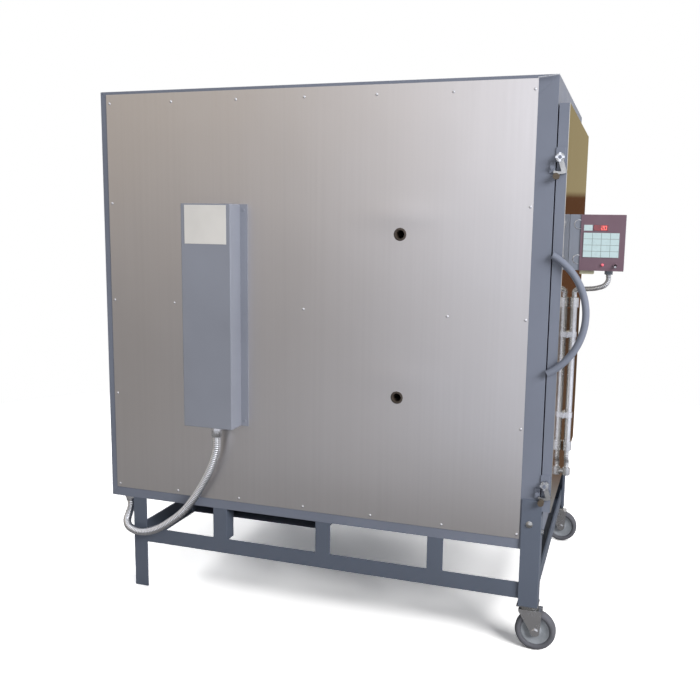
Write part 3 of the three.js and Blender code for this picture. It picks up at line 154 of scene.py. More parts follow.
class KilnColours(bpy.types.PropertyGroup):
    paint: colour_property("Frame paint", "Blue-grey paint of the steel frame", (115, 121, 136))
    # The stand's darker grey is painted shade: the frame's paint darkened because the stand sits low, under
    # the body, in less light.
    stand: colour_property("Stand paint", "Darker grey paint of the stand", (90, 98, 113))
    cover: colour_property("Cover paint", "Lighter grey paint of the wiring box", (139, 143, 155))
    stainless: colour_property("Stainless", "Brushed stainless sheet", (214, 212, 212))
    skin: colour_property("Door skin", "Bright stainless skin of the door", (190, 186, 178))
    brick: colour_property("Firebrick", "Insulating firebrick of the lining", (228, 217, 198))
    fibre: colour_property("Seal fibre", "Ceramic fibre of the door seal", (236, 232, 222))
    ceramic: colour_property("Ceramic", "White fired ceramic", (222, 214, 200))
    zinc: colour_property("Zinc plate", "Zinc plating of the casters and latches", (186, 187, 186))
    galvanized: colour_property("Conduit metal", "Galvanized steel of the conduits", (220, 221, 224))
    wire: colour_property("Element wire", "Oxidised resistance wire", (96, 88, 82))
    rubber: colour_property("Wheel rubber", "Grey rubber of the wheels", (104, 105, 112))
    wheel_web: colour_property("Wheel web", "Lighter moulding inside the rubber", (152, 157, 164))
    faceplate: colour_property("Faceplate", "Maroon plate of the controller", (108, 86, 98))
    keypad: colour_property("Keypad", "Pale membrane of the keypad", (186, 208, 212))
    display: colour_property("Display", "Red display window", (132, 6, 24))
    housing: colour_property("Housing", "Grey housing of the controller", (124, 130, 143))
    board: colour_property("Board", "Circuit board lacquer", (26, 84, 48))
    grip: colour_property("Latch grip", "Brown grip of a latch lever", (84, 75, 64))


def sizes():
    return bpy.context.scene.kiln_sizes


def colour(name):
    return (*getattr(bpy.context.scene.kiln_colours, name), 1.0)


# Materials


class NodeSet:
    """The nodes of a tree, added one by one and fed with values or other nodes' outputs."""

    def __init__(self, tree):
        self.nodes = tree.nodes
        self.links = tree.links

    def add(self, kind, inputs=None, **settings):
        node = self.nodes.new(kind)
        for label, value in settings.items():
            setattr(node, label, value)
        for label, value in (inputs or {}).items():
            self.feed(node.inputs[label], value)
        return node

    def feed(self, socket, value):
        if isinstance(value, bpy.types.NodeSocket):
            self.links.new(value, socket)
        else:
            socket.default_value = value

    def ranged(self, value, low, high, from_low=0.3, from_high=0.7):
        inputs = {
            "Value": value, "From Min": from_low, "From Max": from_high, "To Min": low, "To Max": high,
        }
        return self.add("ShaderNodeMapRange", inputs).outputs[0]

    def mixed(self, factor, first, second):
        node = self.add("ShaderNodeMix", data_type="RGBA")
        colours = [socket for socket in node.inputs if socket.type == "RGBA"]
        self.feed(node.inputs[0], factor)
        self.feed(colours[0], first)
        self.feed(colours[1], second)
        return next(socket for socket in node.outputs if socket.type == "RGBA")

    def math(self, operation, *values):
        return self.add("ShaderNodeMath", dict(enumerate(values)), operation=operation).outputs[0]


class Finish(NodeSet):
    """A material with its nodes around one Principled shader."""

    def __init__(self, name, base, **values):
        self.material = bpy.data.materials.new(name)
        self.material.use_nodes = True
        super().__init__(self.material.node_tree)
        self.shader = self.nodes["Principled BSDF"]
        self.shader.inputs["Base Color"].default_value = base
        for label, value in values.items():
            self.shader.inputs[label.replace("_", " ")].default_value = value
        self.object_place = self.add("ShaderNodeTexCoord").outputs["Object"]
        self.material.diffuse_color = base

    def stretched(self, scale, turn=(0.0, 0.0, 0.0)):
        return self.add(
            "ShaderNodeMapping", {"Vector": self.object_place, "Scale": scale, "Rotation": turn},
        ).outputs[0]

    def noise(self, scale, detail=2.0, roughness=0.5, place=None):
        inputs = {
            "Vector": place or self.object_place, "Scale": scale, "Detail": detail, "Roughness": roughness,
        }
        return self.add("ShaderNodeTexNoise", inputs).outputs["Fac"]

    def raised(self, height, distance, strength=1.0, under=None):
        inputs = {"Height": height, "Distance": distance, "Strength": strength}
        if under:
            inputs["Normal"] = under
        return self.add("ShaderNodeBump", inputs).outputs[0]

    def set(self, **values):
        for label, value in values.items():
            self.feed(self.shader.inputs[label.replace("_", " ")], value)
        return self


def tinted(base, factor):
    return (*(min(1.0, channel * factor) for channel in base[:3]), 1.0)


def painted(name, base):
    """Gloss paint with a faint orange peel."""
    finish = Finish(name, base, Specular_IOR_Level=0.5)
    patches = finish.noise(3.0, 3.0)
    finish.set(
        Base_Color=finish.mixed(finish.ranged(patches, 0.0, 1.0), tinted(base, 0.92), tinted(base, 1.08)),
        Roughness=finish.ranged(finish.noise(14.0, 4.0), 0.36, 0.50),
    )
    peel = finish.raised(finish.noise(700.0, 2.0), 0.03 * MM, 0.35)
    return finish.set(Normal=finish.raised(finish.noise(28.0, 3.0), 0.15 * MM, 0.25, peel))


def grey_paint():
    return painted("Grey paint", colour("paint"))


# Painted shade: the same gloss paint as the frame, darker for the stand's low place under the body.
def shaded_stand_paint():
    return painted("Stand paint", colour("stand"))


def cover_paint():
    return painted("Cover paint", colour("cover"))


# The weld bead is painted a much lighter grey than the frame: a painted highlight, the seam catching the light
# put into its colour.
def weld_highlight_paint():
    return painted("Ground weld", opaque(176, 180, 188))


def brushed(name, base, grain, roughness, depth):
    """Brushed sheet: grain is how finely the noise is cut along X, Y and Z."""
    finish = Finish(name, base, Metallic=1.0)
    lines = finish.noise(1.0, 5.0, 0.62, finish.stretched(grain))
    wide = finish.noise(1.0, 3.0, 0.5, finish.stretched(tuple(scale / 7 for scale in grain)))
    clouds = finish.noise(2.2, 3.0)
    toned = finish.mixed(finish.ranged(wide, 0.0, 1.0), tinted(base, 0.975), tinted(base, 1.015))
    warm = tuple(channel * factor for channel, factor in zip(base, (1.0, 0.985, 0.965, 1.0)))
    finish.set(
        Base_Color=finish.mixed(finish.ranged(clouds, 0.0, 0.6), toned, warm),
        Roughness=finish.ranged(lines, roughness * 0.88, roughness * 1.14),
    )
    return finish.set(Normal=finish.raised(lines, depth, 0.5))


def brushed_panel():
    return brushed("Brushed stainless", colour("stainless"), (620.0, 620.0, 5.0), 0.33, 0.008 * MM)


def brushed_top():
    return brushed("Brushed stainless top", colour("stainless"), (620.0, 5.0, 620.0), 0.38, 0.008 * MM)


def door_skin():
    return brushed("Bright stainless", colour("skin"), (420.0, 420.0, 4.0), 0.07, 0.002 * MM)


def plated(name, base, roughness, bloom):
    finish = Finish(name, base, Metallic=1.0)
    spangle = finish.noise(90.0, 2.0)
    finish.set(
        Base_Color=finish.mixed(finish.ranged(spangle, 0.0, bloom), base, tinted(base, 0.72)),
        Roughness=finish.ranged(finish.noise(60.0, 4.0), roughness * 0.8, roughness * 1.35),
    )
    return finish.set(Normal=finish.raised(finish.noise(420.0, 2.0), 0.02 * MM, 0.3))


def zinc_plate():
    return plated("Zinc plate", colour("zinc"), 0.27, 0.8)


def galvanized():
    return plated("Galvanized steel", colour("galvanized"), 0.22, 0.3)


def screw_steel():
    return plated("Screw steel", colour("galvanized"), 0.3, 0.3)


def firebrick(name, turn):
    """Laid firebrick. Turn brings the wall's own plane to the plane of the pattern."""
    base = colour("brick")
    finish = Finish(name, base, Roughness=0.92, Specular_IOR_Level=0.15)
    length = sizes().brick_length
    laid = finish.add(
        "ShaderNodeTexBrick",
        {
            "Vector": finish.stretched((1.0, 1.0, 1.0), turn), "Scale": 1.0, "Mortar Size": 0.9 * MM,
            "Mortar Smooth": 0.4, "Brick Width": length, "Row Height": length / 2,
            "Color1": tinted(base, 1.02), "Color2": tinted(base, 0.93), "Mortar": tinted(base, 0.55),
        },
    )
    pores = finish.add(
        "ShaderNodeTexVoronoi", {"Vector": finish.object_place, "Scale": 420.0}, feature="F1",
    ).outputs["Distance"]
    grain = finish.noise(160.0, 6.0, 0.65)
    stain = finish.noise(5.0, 4.0)
    speckled = finish.mixed(finish.ranged(grain, 0.0, 0.35), laid.outputs["Color"], tinted(base, 0.70))
    finish.set(
        Base_Color=finish.mixed(finish.ranged(stain, 0.0, 0.3), speckled, opaque(200, 178, 148)),
    )
    joints = finish.raised(laid.outputs["Fac"], -1.2 * MM, 0.9)
    pitted = finish.raised(pores, 0.5 * MM, 0.5, joints)
    return finish.set(Normal=finish.raised(grain, 0.4 * MM, 0.6, pitted))


def side_brick():
    return firebrick("Firebrick side", (math.pi / 2, 0.0, math.pi / 2))


def cross_brick():
    return firebrick("Firebrick rear", (math.pi / 2, 0.0, 0.0))


def level_brick():
    return firebrick("Firebrick level", (0.0, 0.0, 0.0))


def ceramic(name="Fired ceramic", base=None):
    base = base or colour("ceramic")
    finish = Finish(name, base, Roughness=0.55)
    finish.set(
        Base_Color=finish.mixed(
            finish.ranged(finish.noise(40.0, 5.0), 0.0, 0.7), base, tinted(base, 0.8),
        ),
    )
    return finish.set(Normal=finish.raised(finish.noise(500.0, 3.0), 0.08 * MM, 0.5))


# Near-black ceramic for the peephole sleeves, so that the whole peephole, end face and bore, reads dark.
def dark_peephole_ceramic():
    return ceramic("Scorched ceramic", opaque(66, 58, 52))


def ceramic_fibre():
    base = colour("fibre")
    finish = Finish("Ceramic fibre", base, Roughness=0.95, Sheen_Weight=0.3, Specular_IOR_Level=0.1)
    strands = finish.noise(1.0, 6.0, 0.7, finish.stretched((260.0, 260.0, 900.0)))
    finish.set(
        Base_Color=finish.mixed(finish.ranged(strands, 0.0, 0.8), base, tinted(base, 0.78)),
    )
    return finish.set(Normal=finish.raised(strands, 0.6 * MM, 0.8))


def element_wire():
    base = colour("wire")
    finish = Finish("Resistance wire", base, Metallic=0.6, Roughness=0.55)
    finish.set(
        Base_Color=finish.mixed(
            finish.ranged(finish.noise(220.0, 4.0), 0.0, 1.0), base, opaque(128, 112, 92),
        ),
    )
    return finish.set(Normal=finish.raised(finish.noise(1500.0, 3.0), 0.05 * MM, 0.5))


def rolled_rubber(name, base):
    finish = Finish(name, base, Specular_IOR_Level=0.35)
    scuffs = finish.noise(55.0, 5.0, 0.65)
    finish.set(
        Base_Color=finish.mixed(finish.ranged(scuffs, 0.0, 0.8), base, tinted(base, 0.72)),
        Roughness=finish.ranged(scuffs, 0.5, 0.72),
    )
    return finish.set(Normal=finish.raised(finish.noise(900.0, 3.0), 0.08 * MM, 0.5))


def wheel_rubber():
    return rolled_rubber("Wheel rubber", colour("rubber"))


def wheel_hub():
    return rolled_rubber("Wheel web", colour("wheel_web"))


def moulded(name, base, roughness, depth=0.04 * MM, **values):
    finish = Finish(name, base, **values)
    cast = finish.noise(7.0, 3.0)
    finish.set(
        Base_Color=finish.mixed(finish.ranged(cast, 0.0, 1.0), tinted(base, 0.93), tinted(base, 1.06)),
        Roughness=finish.ranged(finish.noise(35.0, 4.0), roughness * 0.82, roughness * 1.2),
    )
    return finish.set(Normal=finish.raised(finish.noise(850.0, 2.0), depth, 0.45))


def housing_grey():
    return moulded("Housing grey", colour("housing"), 0.38)


def faceplate_maroon():
    return moulded("Faceplate maroon", colour("faceplate"), 0.34, 0.02 * MM)


def keypad_film():
    return moulded("Keypad film", colour("keypad"), 0.28, 0.01 * MM, Coat_Weight=0.4, Coat_Roughness=0.12)


def key_line():
    return moulded("Key line", tinted(colour("keypad"), 0.42), 0.4, 0.01 * MM)


def display_glass():
    base = colour("display")
    finish = Finish("Display glass", base, Coat_Weight=1.0, Coat_Roughness=0.04)
    return finish.set(
        Base_Color=finish.mixed(finish.ranged(finish.noise(120.0), 0.0, 1.0), base, tinted(base, 0.6)),
        Roughness=finish.ranged(finish.noise(40.0), 0.1, 0.2),
    )


def display_digit():
    base = opaque(255, 120, 112)
    finish = moulded("Display digit", base, 0.3)
    finish.shader.inputs["Emission Color"].default_value = base
    finish.shader.inputs["Emission Strength"].default_value = 0.8
    return finish


def lamp_red():
    base = opaque(214, 92, 108)
    finish = moulded("Lamp lens", base, 0.14, 0.01 * MM, Coat_Weight=1.0, Coat_Roughness=0.05)
    finish.shader.inputs["Emission Color"].default_value = base
    finish.shader.inputs["Emission Strength"].default_value = 0.25
    return finish


def board_green():
    base = colour("board")
    finish = Finish("Board lacquer", base, Coat_Weight=0.5, Roughness=0.4)
    traces = finish.noise(1.0, 2.0, 0.5, finish.stretched((90.0, 900.0, 90.0)))
    return finish.set(
        Base_Color=finish.mixed(finish.ranged(traces, 0.0, 1.0, 0.45, 0.55), base, tinted(base, 1.7)),
        Normal=finish.raised(traces, 0.05 * MM, 0.5),
    )


def bright_metal():
    return plated("Bright plating", opaque(212, 214, 218), 0.16, 0.35)


def grip_plastic():
    return moulded("Latch grip", colour("grip"), 0.5, 0.08 * MM)


def blank_label():
    return moulded("Blank label", opaque(222, 220, 217), 0.42, 0.01 * MM)


def cream_fitting():
    return moulded("Cream fitting", opaque(206, 202, 176), 0.45)


MADE = {}


def finish_of(maker):
    """The material of a maker function, made once."""
    if maker.__name__ not in MADE:
        MADE[maker.__name__] = maker().material
    return MADE[maker.__name__]


# Mesh helpers


def linked(name, data):
    piece = bpy.data.objects.new(name, data)
    bpy.context.scene.collection.objects.link(piece)
    return piece


def from_bmesh(name, shape):
    mesh = bpy.data.meshes.new(name)
    shape.to_mesh(mesh)
    shape.free()
    return linked(name, mesh)


def bake(piece):
    """Turns a piece with its modifiers into a plain mesh in place."""
    bpy.context.view_layer.update()
    graph = bpy.context.evaluated_depsgraph_get()
    mesh = bpy.data.meshes.new_from_object(
        piece.evaluated_get(graph), preserve_all_data_layers=True, depsgraph=graph,
    )
    piece.modifiers.clear()
    if not mesh.polygons:
        raise RuntimeError(f"{piece.name} came out with no faces")
    piece.data = mesh
    mesh.name = piece.name
    return piece


def smoothed(piece, angle=SHARP_ANGLE):
    mesh = piece.data
    mesh.polygons.foreach_set("use_smooth", [True] * len(mesh.polygons))
    mesh.set_sharp_from_angle(angle=angle)
    return piece


def rounded(piece, width, segments=2):
    """Rounds the edges, and shades the piece so that its flats stay flat."""
    if width > 0:
        bevel = piece.modifiers.new("Edges", "BEVEL")
        bevel.width = width
        bevel.segments = segments
        bevel.limit_method = "ANGLE"
        bevel.angle_limit = ROUNDED_ANGLE
        bevel.use_clamp_overlap = True
        bake(piece)
    smoothed(piece)
    weighted = piece.modifiers.new("Flats", "WEIGHTED_NORMAL")
    weighted.keep_sharp = True
    return bake(piece)


def copied(node):
    """A merged copy of a node's mesh, with its flats made whole."""
    shape = bmesh.new()
    shape.from_mesh(frame["nodes"][node].data)
    bmesh.ops.remove_doubles(shape, verts=shape.verts, dist=WELD_GAP)
    bmesh.ops.dissolve_limit(
        shape, angle_limit=FLAT_ANGLE, verts=shape.verts, edges=shape.edges, use_dissolve_boundaries=False,
    )
    return from_bmesh(f"{node}_dressed", shape)


def body_of(node):
    return frame["nodes"][node]["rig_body"]


def settle(piece, maker, *nodes, like=None):
    """Gives a piece its finish and body. It stands for the nodes, or only sits on like's body."""
    source = like or nodes[0]
    if maker:
        piece.data.materials.clear()
        piece.data.materials.append(finish_of(maker))
    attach(piece, body_of(source))
    if nodes:
        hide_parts(*nodes)
    return piece


def dressed(node, maker, width, segments=2):
    return settle(rounded(copied(node), width, segments), maker, node)


def joined(name, pieces):
    """One mesh from several baked pieces, which keep their materials."""
    shape = bmesh.new()
    materials = []
    for piece in pieces:
        start = len(shape.faces)
        shape.from_mesh(piece.data)
        shape.faces.ensure_lookup_table()
        places = []
        for material in piece.data.materials:
            if material not in materials:
                materials.append(material)
            places.append(materials.index(material))
        if places:
            for face in shape.faces[start:]:
                face.material_index = places[min(face.material_index, len(places) - 1)]
    whole = from_bmesh(name, shape)
    for material in materials:
        whole.data.materials.append(material)
    for piece in pieces:
        bpy.data.objects.remove(piece)
    return whole


def basis(outward):
    """Two directions along a face, so that the first crossed with the second points outward."""
    up = Vector((0, 0, 1)) if abs(outward.z) < 0.5 else Vector((0, 1, 0))
    along = up.cross(outward).normalized()
    return along, up


def turned(name, profile, centre, axis, sides=40, closed=False):
    """A lathe shape: the profile's pairs are radius and distance along the axis, from the centre."""
    axis = Vector(axis).normalized()
    along = basis(axis)[0]
    across = axis.cross(along)
    shape = bmesh.new()
    rings = []
    for radius, reach in profile:
        middle = Vector(centre) + axis * reach
        if radius < WELD_GAP:
            rings.append([shape.verts.new(middle)] * sides)
            continue
        rings.append([
            shape.verts.new(
                middle + radius * (along * math.cos(TURN * i / sides) + across * math.sin(TURN * i / sides))
            )
            for i in range(sides)
        ])
    pairs = list(zip(rings, rings[1:]))
    if closed:
        pairs.append((rings[-1], rings[0]))
    for near, far in pairs:
        for i in range(sides):
            corners = [near[i], near[(i + 1) % sides], far[(i + 1) % sides], far[i]]
            corners = list(dict.fromkeys(corners))
            if len(corners) > 2:
                shape.faces.new(corners)
    bmesh.ops.recalc_face_normals(shape, faces=shape.faces)
    return from_bmesh(name, shape)


def block(low, high):
    """A box between two corners, as a bmesh."""
    shape = bmesh.new()
    bmesh.ops.create_cube(shape, size=1.0)
    middle = (Vector(low) + Vector(high)) / 2
    size = Vector(high) - Vector(low)
    for vertex in shape.verts:
        vertex.co = Vector(part * span for part, span in zip(vertex.co, size)) + middle
    return shape


def box_shape(name, low, high):
    return from_bmesh(name, block(low, high))


def point_piece(name, points, edges=()):
    mesh = bpy.data.meshes.new(name)
    mesh.from_pydata([tuple(point) for point in points], edges, [])
    return linked(name, mesh)


def line_piece(name, points):
    return point_piece(name, points, [(i, i + 1) for i in range(len(points) - 1)])


# Paths

CURVE_STEPS = 12
CORNER_STEPS = 6


def smooth_path(points):
    """Points along a centripetal curve through the points."""
    ends = [2 * points[0] - points[1], *points, 2 * points[-1] - points[-2]]
    path = []
    for before, start, stop, after in zip(ends, ends[1:], ends[2:], ends[3:]):
        gaps = [math.sqrt((b - a).length) for a, b in ((before, start), (start, stop), (stop, after))]
        leave = (start - before) / gaps[0] - (stop - before) / (gaps[0] + gaps[1]) + (stop - start) / gaps[1]
        arrive = (stop - start) / gaps[1] - (after - start) / (gaps[1] + gaps[2]) + (after - stop) / gaps[2]
        for i in range(CURVE_STEPS):
            t = i / CURVE_STEPS
            path.append(
                (2 * t ** 3 - 3 * t ** 2 + 1) * start + (t ** 3 - 2 * t ** 2 + t) * leave * gaps[1]
                + (3 * t ** 2 - 2 * t ** 3) * stop + (t ** 3 - t ** 2) * arrive * gaps[1]
            )
    return [*path, points[-1]]


def cornered_path(points, radius):
    """The points as a line whose inner corners are rounded."""
    path = [points[0]]
    for before, corner, after in zip(points, points[1:], points[2:]):
        back = (before - corner).normalized()
        on = (after - corner).normalized()
        cut = min(radius, (before - corner).length / 2, (after - corner).length / 2)
        for i in range(CORNER_STEPS + 1):
            t = i / CORNER_STEPS
            path.append(corner + back * cut * (1 - t) ** 2 + on * cut * t ** 2)
    return [*path, points[-1]]


def from_part(*points):
    """Points measured from the part's middle, in metres, as points of the frame."""
    return [Vector(point) + PART_MIDDLE for point in points]


# Geometry node trees

STEPS_OF_TURN = 8.0
HOSE_SIDES = 24
WIRE_SIDES = 5


class Tree(NodeSet):
    """A geometry node tree with named inputs, closed by Realize Instances and Set Material."""

    def __init__(self, name, **inputs):
        self.group = bpy.data.node_groups.new(name, "GeometryNodeTree")
        super().__init__(self.group)
        face = self.group.interface
        face.new_socket("Geometry", in_out="INPUT", socket_type="NodeSocketGeometry")
        for label, kind in inputs.items():
            face.new_socket(label.replace("_", " "), in_out="INPUT", socket_type=f"NodeSocket{kind}")
        face.new_socket("Finish", in_out="INPUT", socket_type="NodeSocketMaterial")
        face.new_socket("Geometry", in_out="OUTPUT", socket_type="NodeSocketGeometry")
        self.given = self.nodes.new("NodeGroupInput").outputs

    def run_length(self, step):
        """A line cut in even steps, with each point's distance along it."""
        curve = self.add("GeometryNodeMeshToCurve", {"Mesh": self.given["Geometry"]}).outputs[0]
        even = self.add("GeometryNodeResampleCurve", {"Curve": curve, "Length": step}, mode="LENGTH")
        return even.outputs[0], self.add("GeometryNodeSplineParameter").outputs["Length"]

    def vector(self, operation, *values, scale=None):
        inputs = dict(enumerate(values))
        if scale is not None:
            inputs["Scale"] = scale
        return self.add("ShaderNodeVectorMath", inputs, operation=operation).outputs[0]

    def close(self, geometry):
        real = self.add("GeometryNodeRealizeInstances", {"Geometry": geometry}).outputs[0]
        dressed_part = self.add(
            "GeometryNodeSetMaterial", {"Geometry": real, "Material": self.given["Finish"]},
        ).outputs[0]
        self.add("NodeGroupOutput", {"Geometry": dressed_part})
        return self


def grown(piece, tree, maker, **values):
    """Runs a tree on a piece with its inputs set, and bakes the result."""
    growth = piece.modifiers.new("Growth", "NODES")
    values = {label.replace("_", " "): value for label, value in values.items()}
    values["Finish"] = finish_of(maker)
    growth.node_group = tree.group
    for item in tree.group.interface.items_tree:
        if item.in_out == "INPUT" and item.name in values:
            growth[item.identifier] = values[item.name]
    return bake(piece)


def swept(tree, curve, radius, sides):
    """Lays a round section along a curve of the tree, its radius a number or a field."""
    section = tree.add("GeometryNodeCurvePrimitiveCircle", {"Resolution": sides, "Radius": 1.0}).outputs[0]
    skin = tree.add(
        "GeometryNodeCurveToMesh",
        {"Curve": curve, "Profile Curve": section, "Scale": radius, "Fill Caps": True},
    ).outputs[0]
    return tree.add("GeometryNodeSetShadeSmooth", {"Geometry": skin}).outputs[0]


def random_float(tree, low, high):
    """A random number for each element, from the tree's own seed."""
    node = tree.add("FunctionNodeRandomValue", data_type="FLOAT")
    floats = [socket for socket in node.inputs if socket.type == "VALUE" and socket.enabled]
    floats[0].default_value = low
    floats[1].default_value = high
    tree.feed(node.inputs["Seed"], tree.given["Seed"])
    return next(socket for socket in node.outputs if socket.enabled)


def hose_tree():
    """A hose of round ribs along a line."""
    tree = Tree("Ribbed hose", Outer_Radius="Float", Rib_Height="Float", Rib_Pitch="Float")
    even, run = tree.run_length(tree.math("DIVIDE", tree.given["Rib Pitch"], STEPS_OF_TURN))
    phase = tree.math("MULTIPLY", tree.math("DIVIDE", run, tree.given["Rib Pitch"]), TURN)
    wave = tree.math("MULTIPLY_ADD", tree.math("COSINE", phase), -0.5, 0.5)
    dip = tree.math("MULTIPLY", tree.math("POWER", wave, 1.6), tree.given["Rib Height"])
    radius = tree.math("SUBTRACT", tree.given["Outer Radius"], dip)
    return tree.close(swept(tree, even, radius, HOSE_SIDES))


def tube_tree():
    """A plain round tube along a line."""
    tree = Tree("Round tube", Radius="Float", Sides="Int")
    curve = tree.add("GeometryNodeMeshToCurve", {"Mesh": tree.given["Geometry"]}).outputs[0]
    return tree.close(swept(tree, curve, tree.given["Radius"], tree.given["Sides"]))


def coil_tree():
    """Wire wound in a coil along a line."""
    tree = Tree("Wound coil", Coil_Radius="Float", Wire_Radius="Float", Pitch="Float")
    even, run = tree.run_length(tree.math("DIVIDE", tree.given["Pitch"], STEPS_OF_TURN))
    turn = tree.math("MULTIPLY", tree.math("DIVIDE", run, tree.given["Pitch"]), TURN)
    normal = tree.add("GeometryNodeInputNormal").outputs[0]
    side = tree.vector("CROSS_PRODUCT", tree.add("GeometryNodeInputTangent").outputs[0], normal)
    offset = tree.vector(
        "ADD",
        tree.vector("SCALE", normal, scale=tree.math("COSINE", turn)),
        tree.vector("SCALE", side, scale=tree.math("SINE", turn)),
    )
    reach = tree.vector("SCALE", offset, scale=tree.given["Coil Radius"])
    wound = tree.add("GeometryNodeSetPosition", {"Geometry": even, "Offset": reach}).outputs[0]
    return tree.close(swept(tree, wound, tree.given["Wire Radius"], WIRE_SIDES))


def stud_tree():
    """A copy of an object on every point, facing outward and turned at random by up to Spin."""
    tree = Tree("Fasteners", Fastener="Object", Outward="Vector", Spin="Float", Seed="Int")
    head = tree.add("GeometryNodeObjectInfo", {"Object": tree.given["Fastener"]}).outputs["Geometry"]
    facing = tree.add(
        "FunctionNodeAlignRotationToVector", {"Vector": tree.given["Outward"]}, axis="Z",
    ).outputs[0]
    placed = tree.add(
        "GeometryNodeInstanceOnPoints",
        {"Points": tree.given["Geometry"], "Instance": head, "Rotation": facing},
    ).outputs[0]
    spin = tree.math("MULTIPLY", random_float(tree, 0.0, 1.0), tree.given["Spin"])
    turn = tree.add("ShaderNodeCombineXYZ", {"Z": spin}).outputs[0]
    spun = tree.add(
        "GeometryNodeRotateInstances", {"Instances": placed, "Rotation": turn, "Local Space": True},
    ).outputs[0]
    return tree.close(spun)


def bead_tree():
    """A weld bead: overlapping drops along a line."""
    tree = Tree("Weld bead", Bead_Radius="Float", Drop_Pitch="Float", Seed="Int")
    curve = tree.add("GeometryNodeMeshToCurve", {"Mesh": tree.given["Geometry"]}).outputs[0]
    points = tree.add(
        "GeometryNodeCurveToPoints", {"Curve": curve, "Length": tree.given["Drop Pitch"]}, mode="LENGTH",
    ).outputs[0]
    drop = tree.add(
        "GeometryNodeMeshIcoSphere", {"Radius": tree.given["Bead Radius"], "Subdivisions": 2},
    ).outputs[0]
    placed = tree.add(
        "GeometryNodeInstanceOnPoints",
        {"Points": points, "Instance": drop, "Scale": random_float(tree, 0.8, 1.1)},
    ).outputs[0]
    return tree.close(placed)


# Frame, deck and stand

ROUNDED_STEEL = (
    "frame_post_front_left", "frame_post_front_right", "frame_post_rear_left", "frame_post_rear_right",
    "frame_ring_top", "frame_ring_bottom", "hinge_lower", "hinge_upper",
)
STAND_STEEL = (
    "stand_side_left", "stand_side_right", "stand_rail_front", "stand_rail_rear",
    "front_leg_left", "front_leg_right",
)


BOLT_RADIUS = 6.9 * MM
BOLT_HEIGHT = 5.0 * MM
BOLT_LIFT = 0.1 * MM
BOLT_CHAMFER = 0.5 * MM
BOLT_PROUD = 0.15 * MM
WASHER_RADIUS = 9.0 * MM
WASHER_HEIGHT = 1.0 * MM
SIDE_BOLT_IN = 29.6 * MM
SIDE_BOLT_DROP = 66 * MM
FRONT_BOLT_IN = 27.4 * MM
FRONT_BOLT_DROP = 92 * MM
BEAD_RADIUS = 1.5 * MM
BEAD_END_IN = 3 * MM


def bolt_head():
    """A hexagon head on its washer, standing on the ground plane."""
    head = turned(
        "bolt_head_pattern",
        [
            (0.0, BOLT_LIFT), (BOLT_RADIUS, BOLT_LIFT), (BOLT_RADIUS, BOLT_HEIGHT - BOLT_CHAMFER),
            (BOLT_RADIUS * 0.86, BOLT_HEIGHT + BOLT_PROUD), (0.0, BOLT_HEIGHT + BOLT_PROUD),
        ],
        ORIGIN, UP, 6,
    )
    washer = turned(
        "washer_pattern",
        [
            (0.0, SEAT), (WASHER_RADIUS, SEAT), (WASHER_RADIUS, WASHER_HEIGHT * 0.7),
            (WASHER_RADIUS * 0.95, WASHER_HEIGHT), (0.0, WASHER_HEIGHT),
        ],
        ORIGIN, UP, 28,
    )
    return joined("bolt_pattern", [head, washer])


def weld(name, start, end, radius, node, seed):
    # The bead takes the lighter weld paint, a painted highlight of the seam.
    bead = grown(
        line_piece(name, [Vector(start), Vector(end)]), bead_tree(), weld_highlight_paint,
        Bead_Radius=radius, Drop_Pitch=radius * 1.1, Seed=seed,
    )
    return settle(smoothed(bead, math.pi), None, like=node)


class FrameOperator(bpy.types.Operator):
    """Rounds and paints the steel frame, its deck and the weld of its mitre"""

    bl_idname = "kiln.dress_frame"
    bl_label = "Frame"

    def execute(self, context):
        width = sizes().edge_rounding
        for node in ROUNDED_STEEL:
            dressed(node, grey_paint, width)
        dressed("floor_deck", grey_paint, width / 3)
        post_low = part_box("frame_post_front_left")[0]
        ring_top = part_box("frame_ring_top")[1].z
        panel_low, panel_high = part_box("side_panel_left")
        weld(
            "corner_weld_top", (post_low.x, panel_low.y, panel_high.z),
            (post_low.x, post_low.y, ring_top - BEAD_END_IN),
            BEAD_RADIUS, "frame_ring_top", 3,
        )
        return {"FINISHED"}


class StandOperator(bpy.types.Operator):
    """Rounds and paints the stand and its front legs, and sets the plated heads of their bolts"""

    bl_idname = "kiln.dress_stand"
    bl_label = "Stand"

    def execute(self, context):
        width = sizes().edge_rounding
        for node in STAND_STEEL:
            # The stand takes the darker stand paint, painted shade for its low place under the body.
            dressed(node, shaded_stand_paint, width)
        for node, side in (("front_leg_left", -1), ("front_leg_right", 1)):
            self.bolts(node, side)
        return {"FINISHED"}

    def bolts(self, node, side):
        """Plated hexagon heads, over the painted ones of the leg's own solid."""
        low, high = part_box(node)
        face = low.x + BOLT_HEIGHT if side < 0 else high.x - BOLT_HEIGHT
        on_side = (face, low.y + BOLT_HEIGHT + SIDE_BOLT_IN, high.z - SIDE_BOLT_DROP)
        on_front = (face - side * FRONT_BOLT_IN, low.y + BOLT_HEIGHT, high.z - FRONT_BOLT_DROP)
        for place, outward in ((on_side, (side, 0, 0)), (on_front, (0, -1, 0))):
            repeated(f"{node}_bolt", bolt_head(), [place], outward, node, zinc_plate)


# Stainless sheets

HELD_EDGE = 90 * MM
WIDE_WAVES = (3.1, 2.3)
NEAR_WAVES = (7.5, 6.1)
EVEN_BOW = 0.55
WIDE_BOW = 0.75
NEAR_BOW = 0.30
SHEET_CELL = 20 * MM
HOLE_CELL = 14 * MM
SLEEVE_GAP = 0.3 * MM
STRIP_INSET = 16 * MM
STRIP_BELOW = 16 * MM
STRIP_ABOVE = 54 * MM
RIPPLE_RISE = 50 * MM
RIPPLE = (1.0 * MM, 110 * MM, 30 * MM)


def sheet_lines(low, high, marks):
    """Grid lines from low to high, no more than a cell apart, with a line at each mark."""
    stops = sorted({low, high, *marks})
    lines = []
    for start, end in zip(stops, stops[1:]):
        count = max(1, math.ceil((end - start) / SHEET_CELL))
        lines += [start + (end - start) * i / count for i in range(count)]
    return [*lines, high]


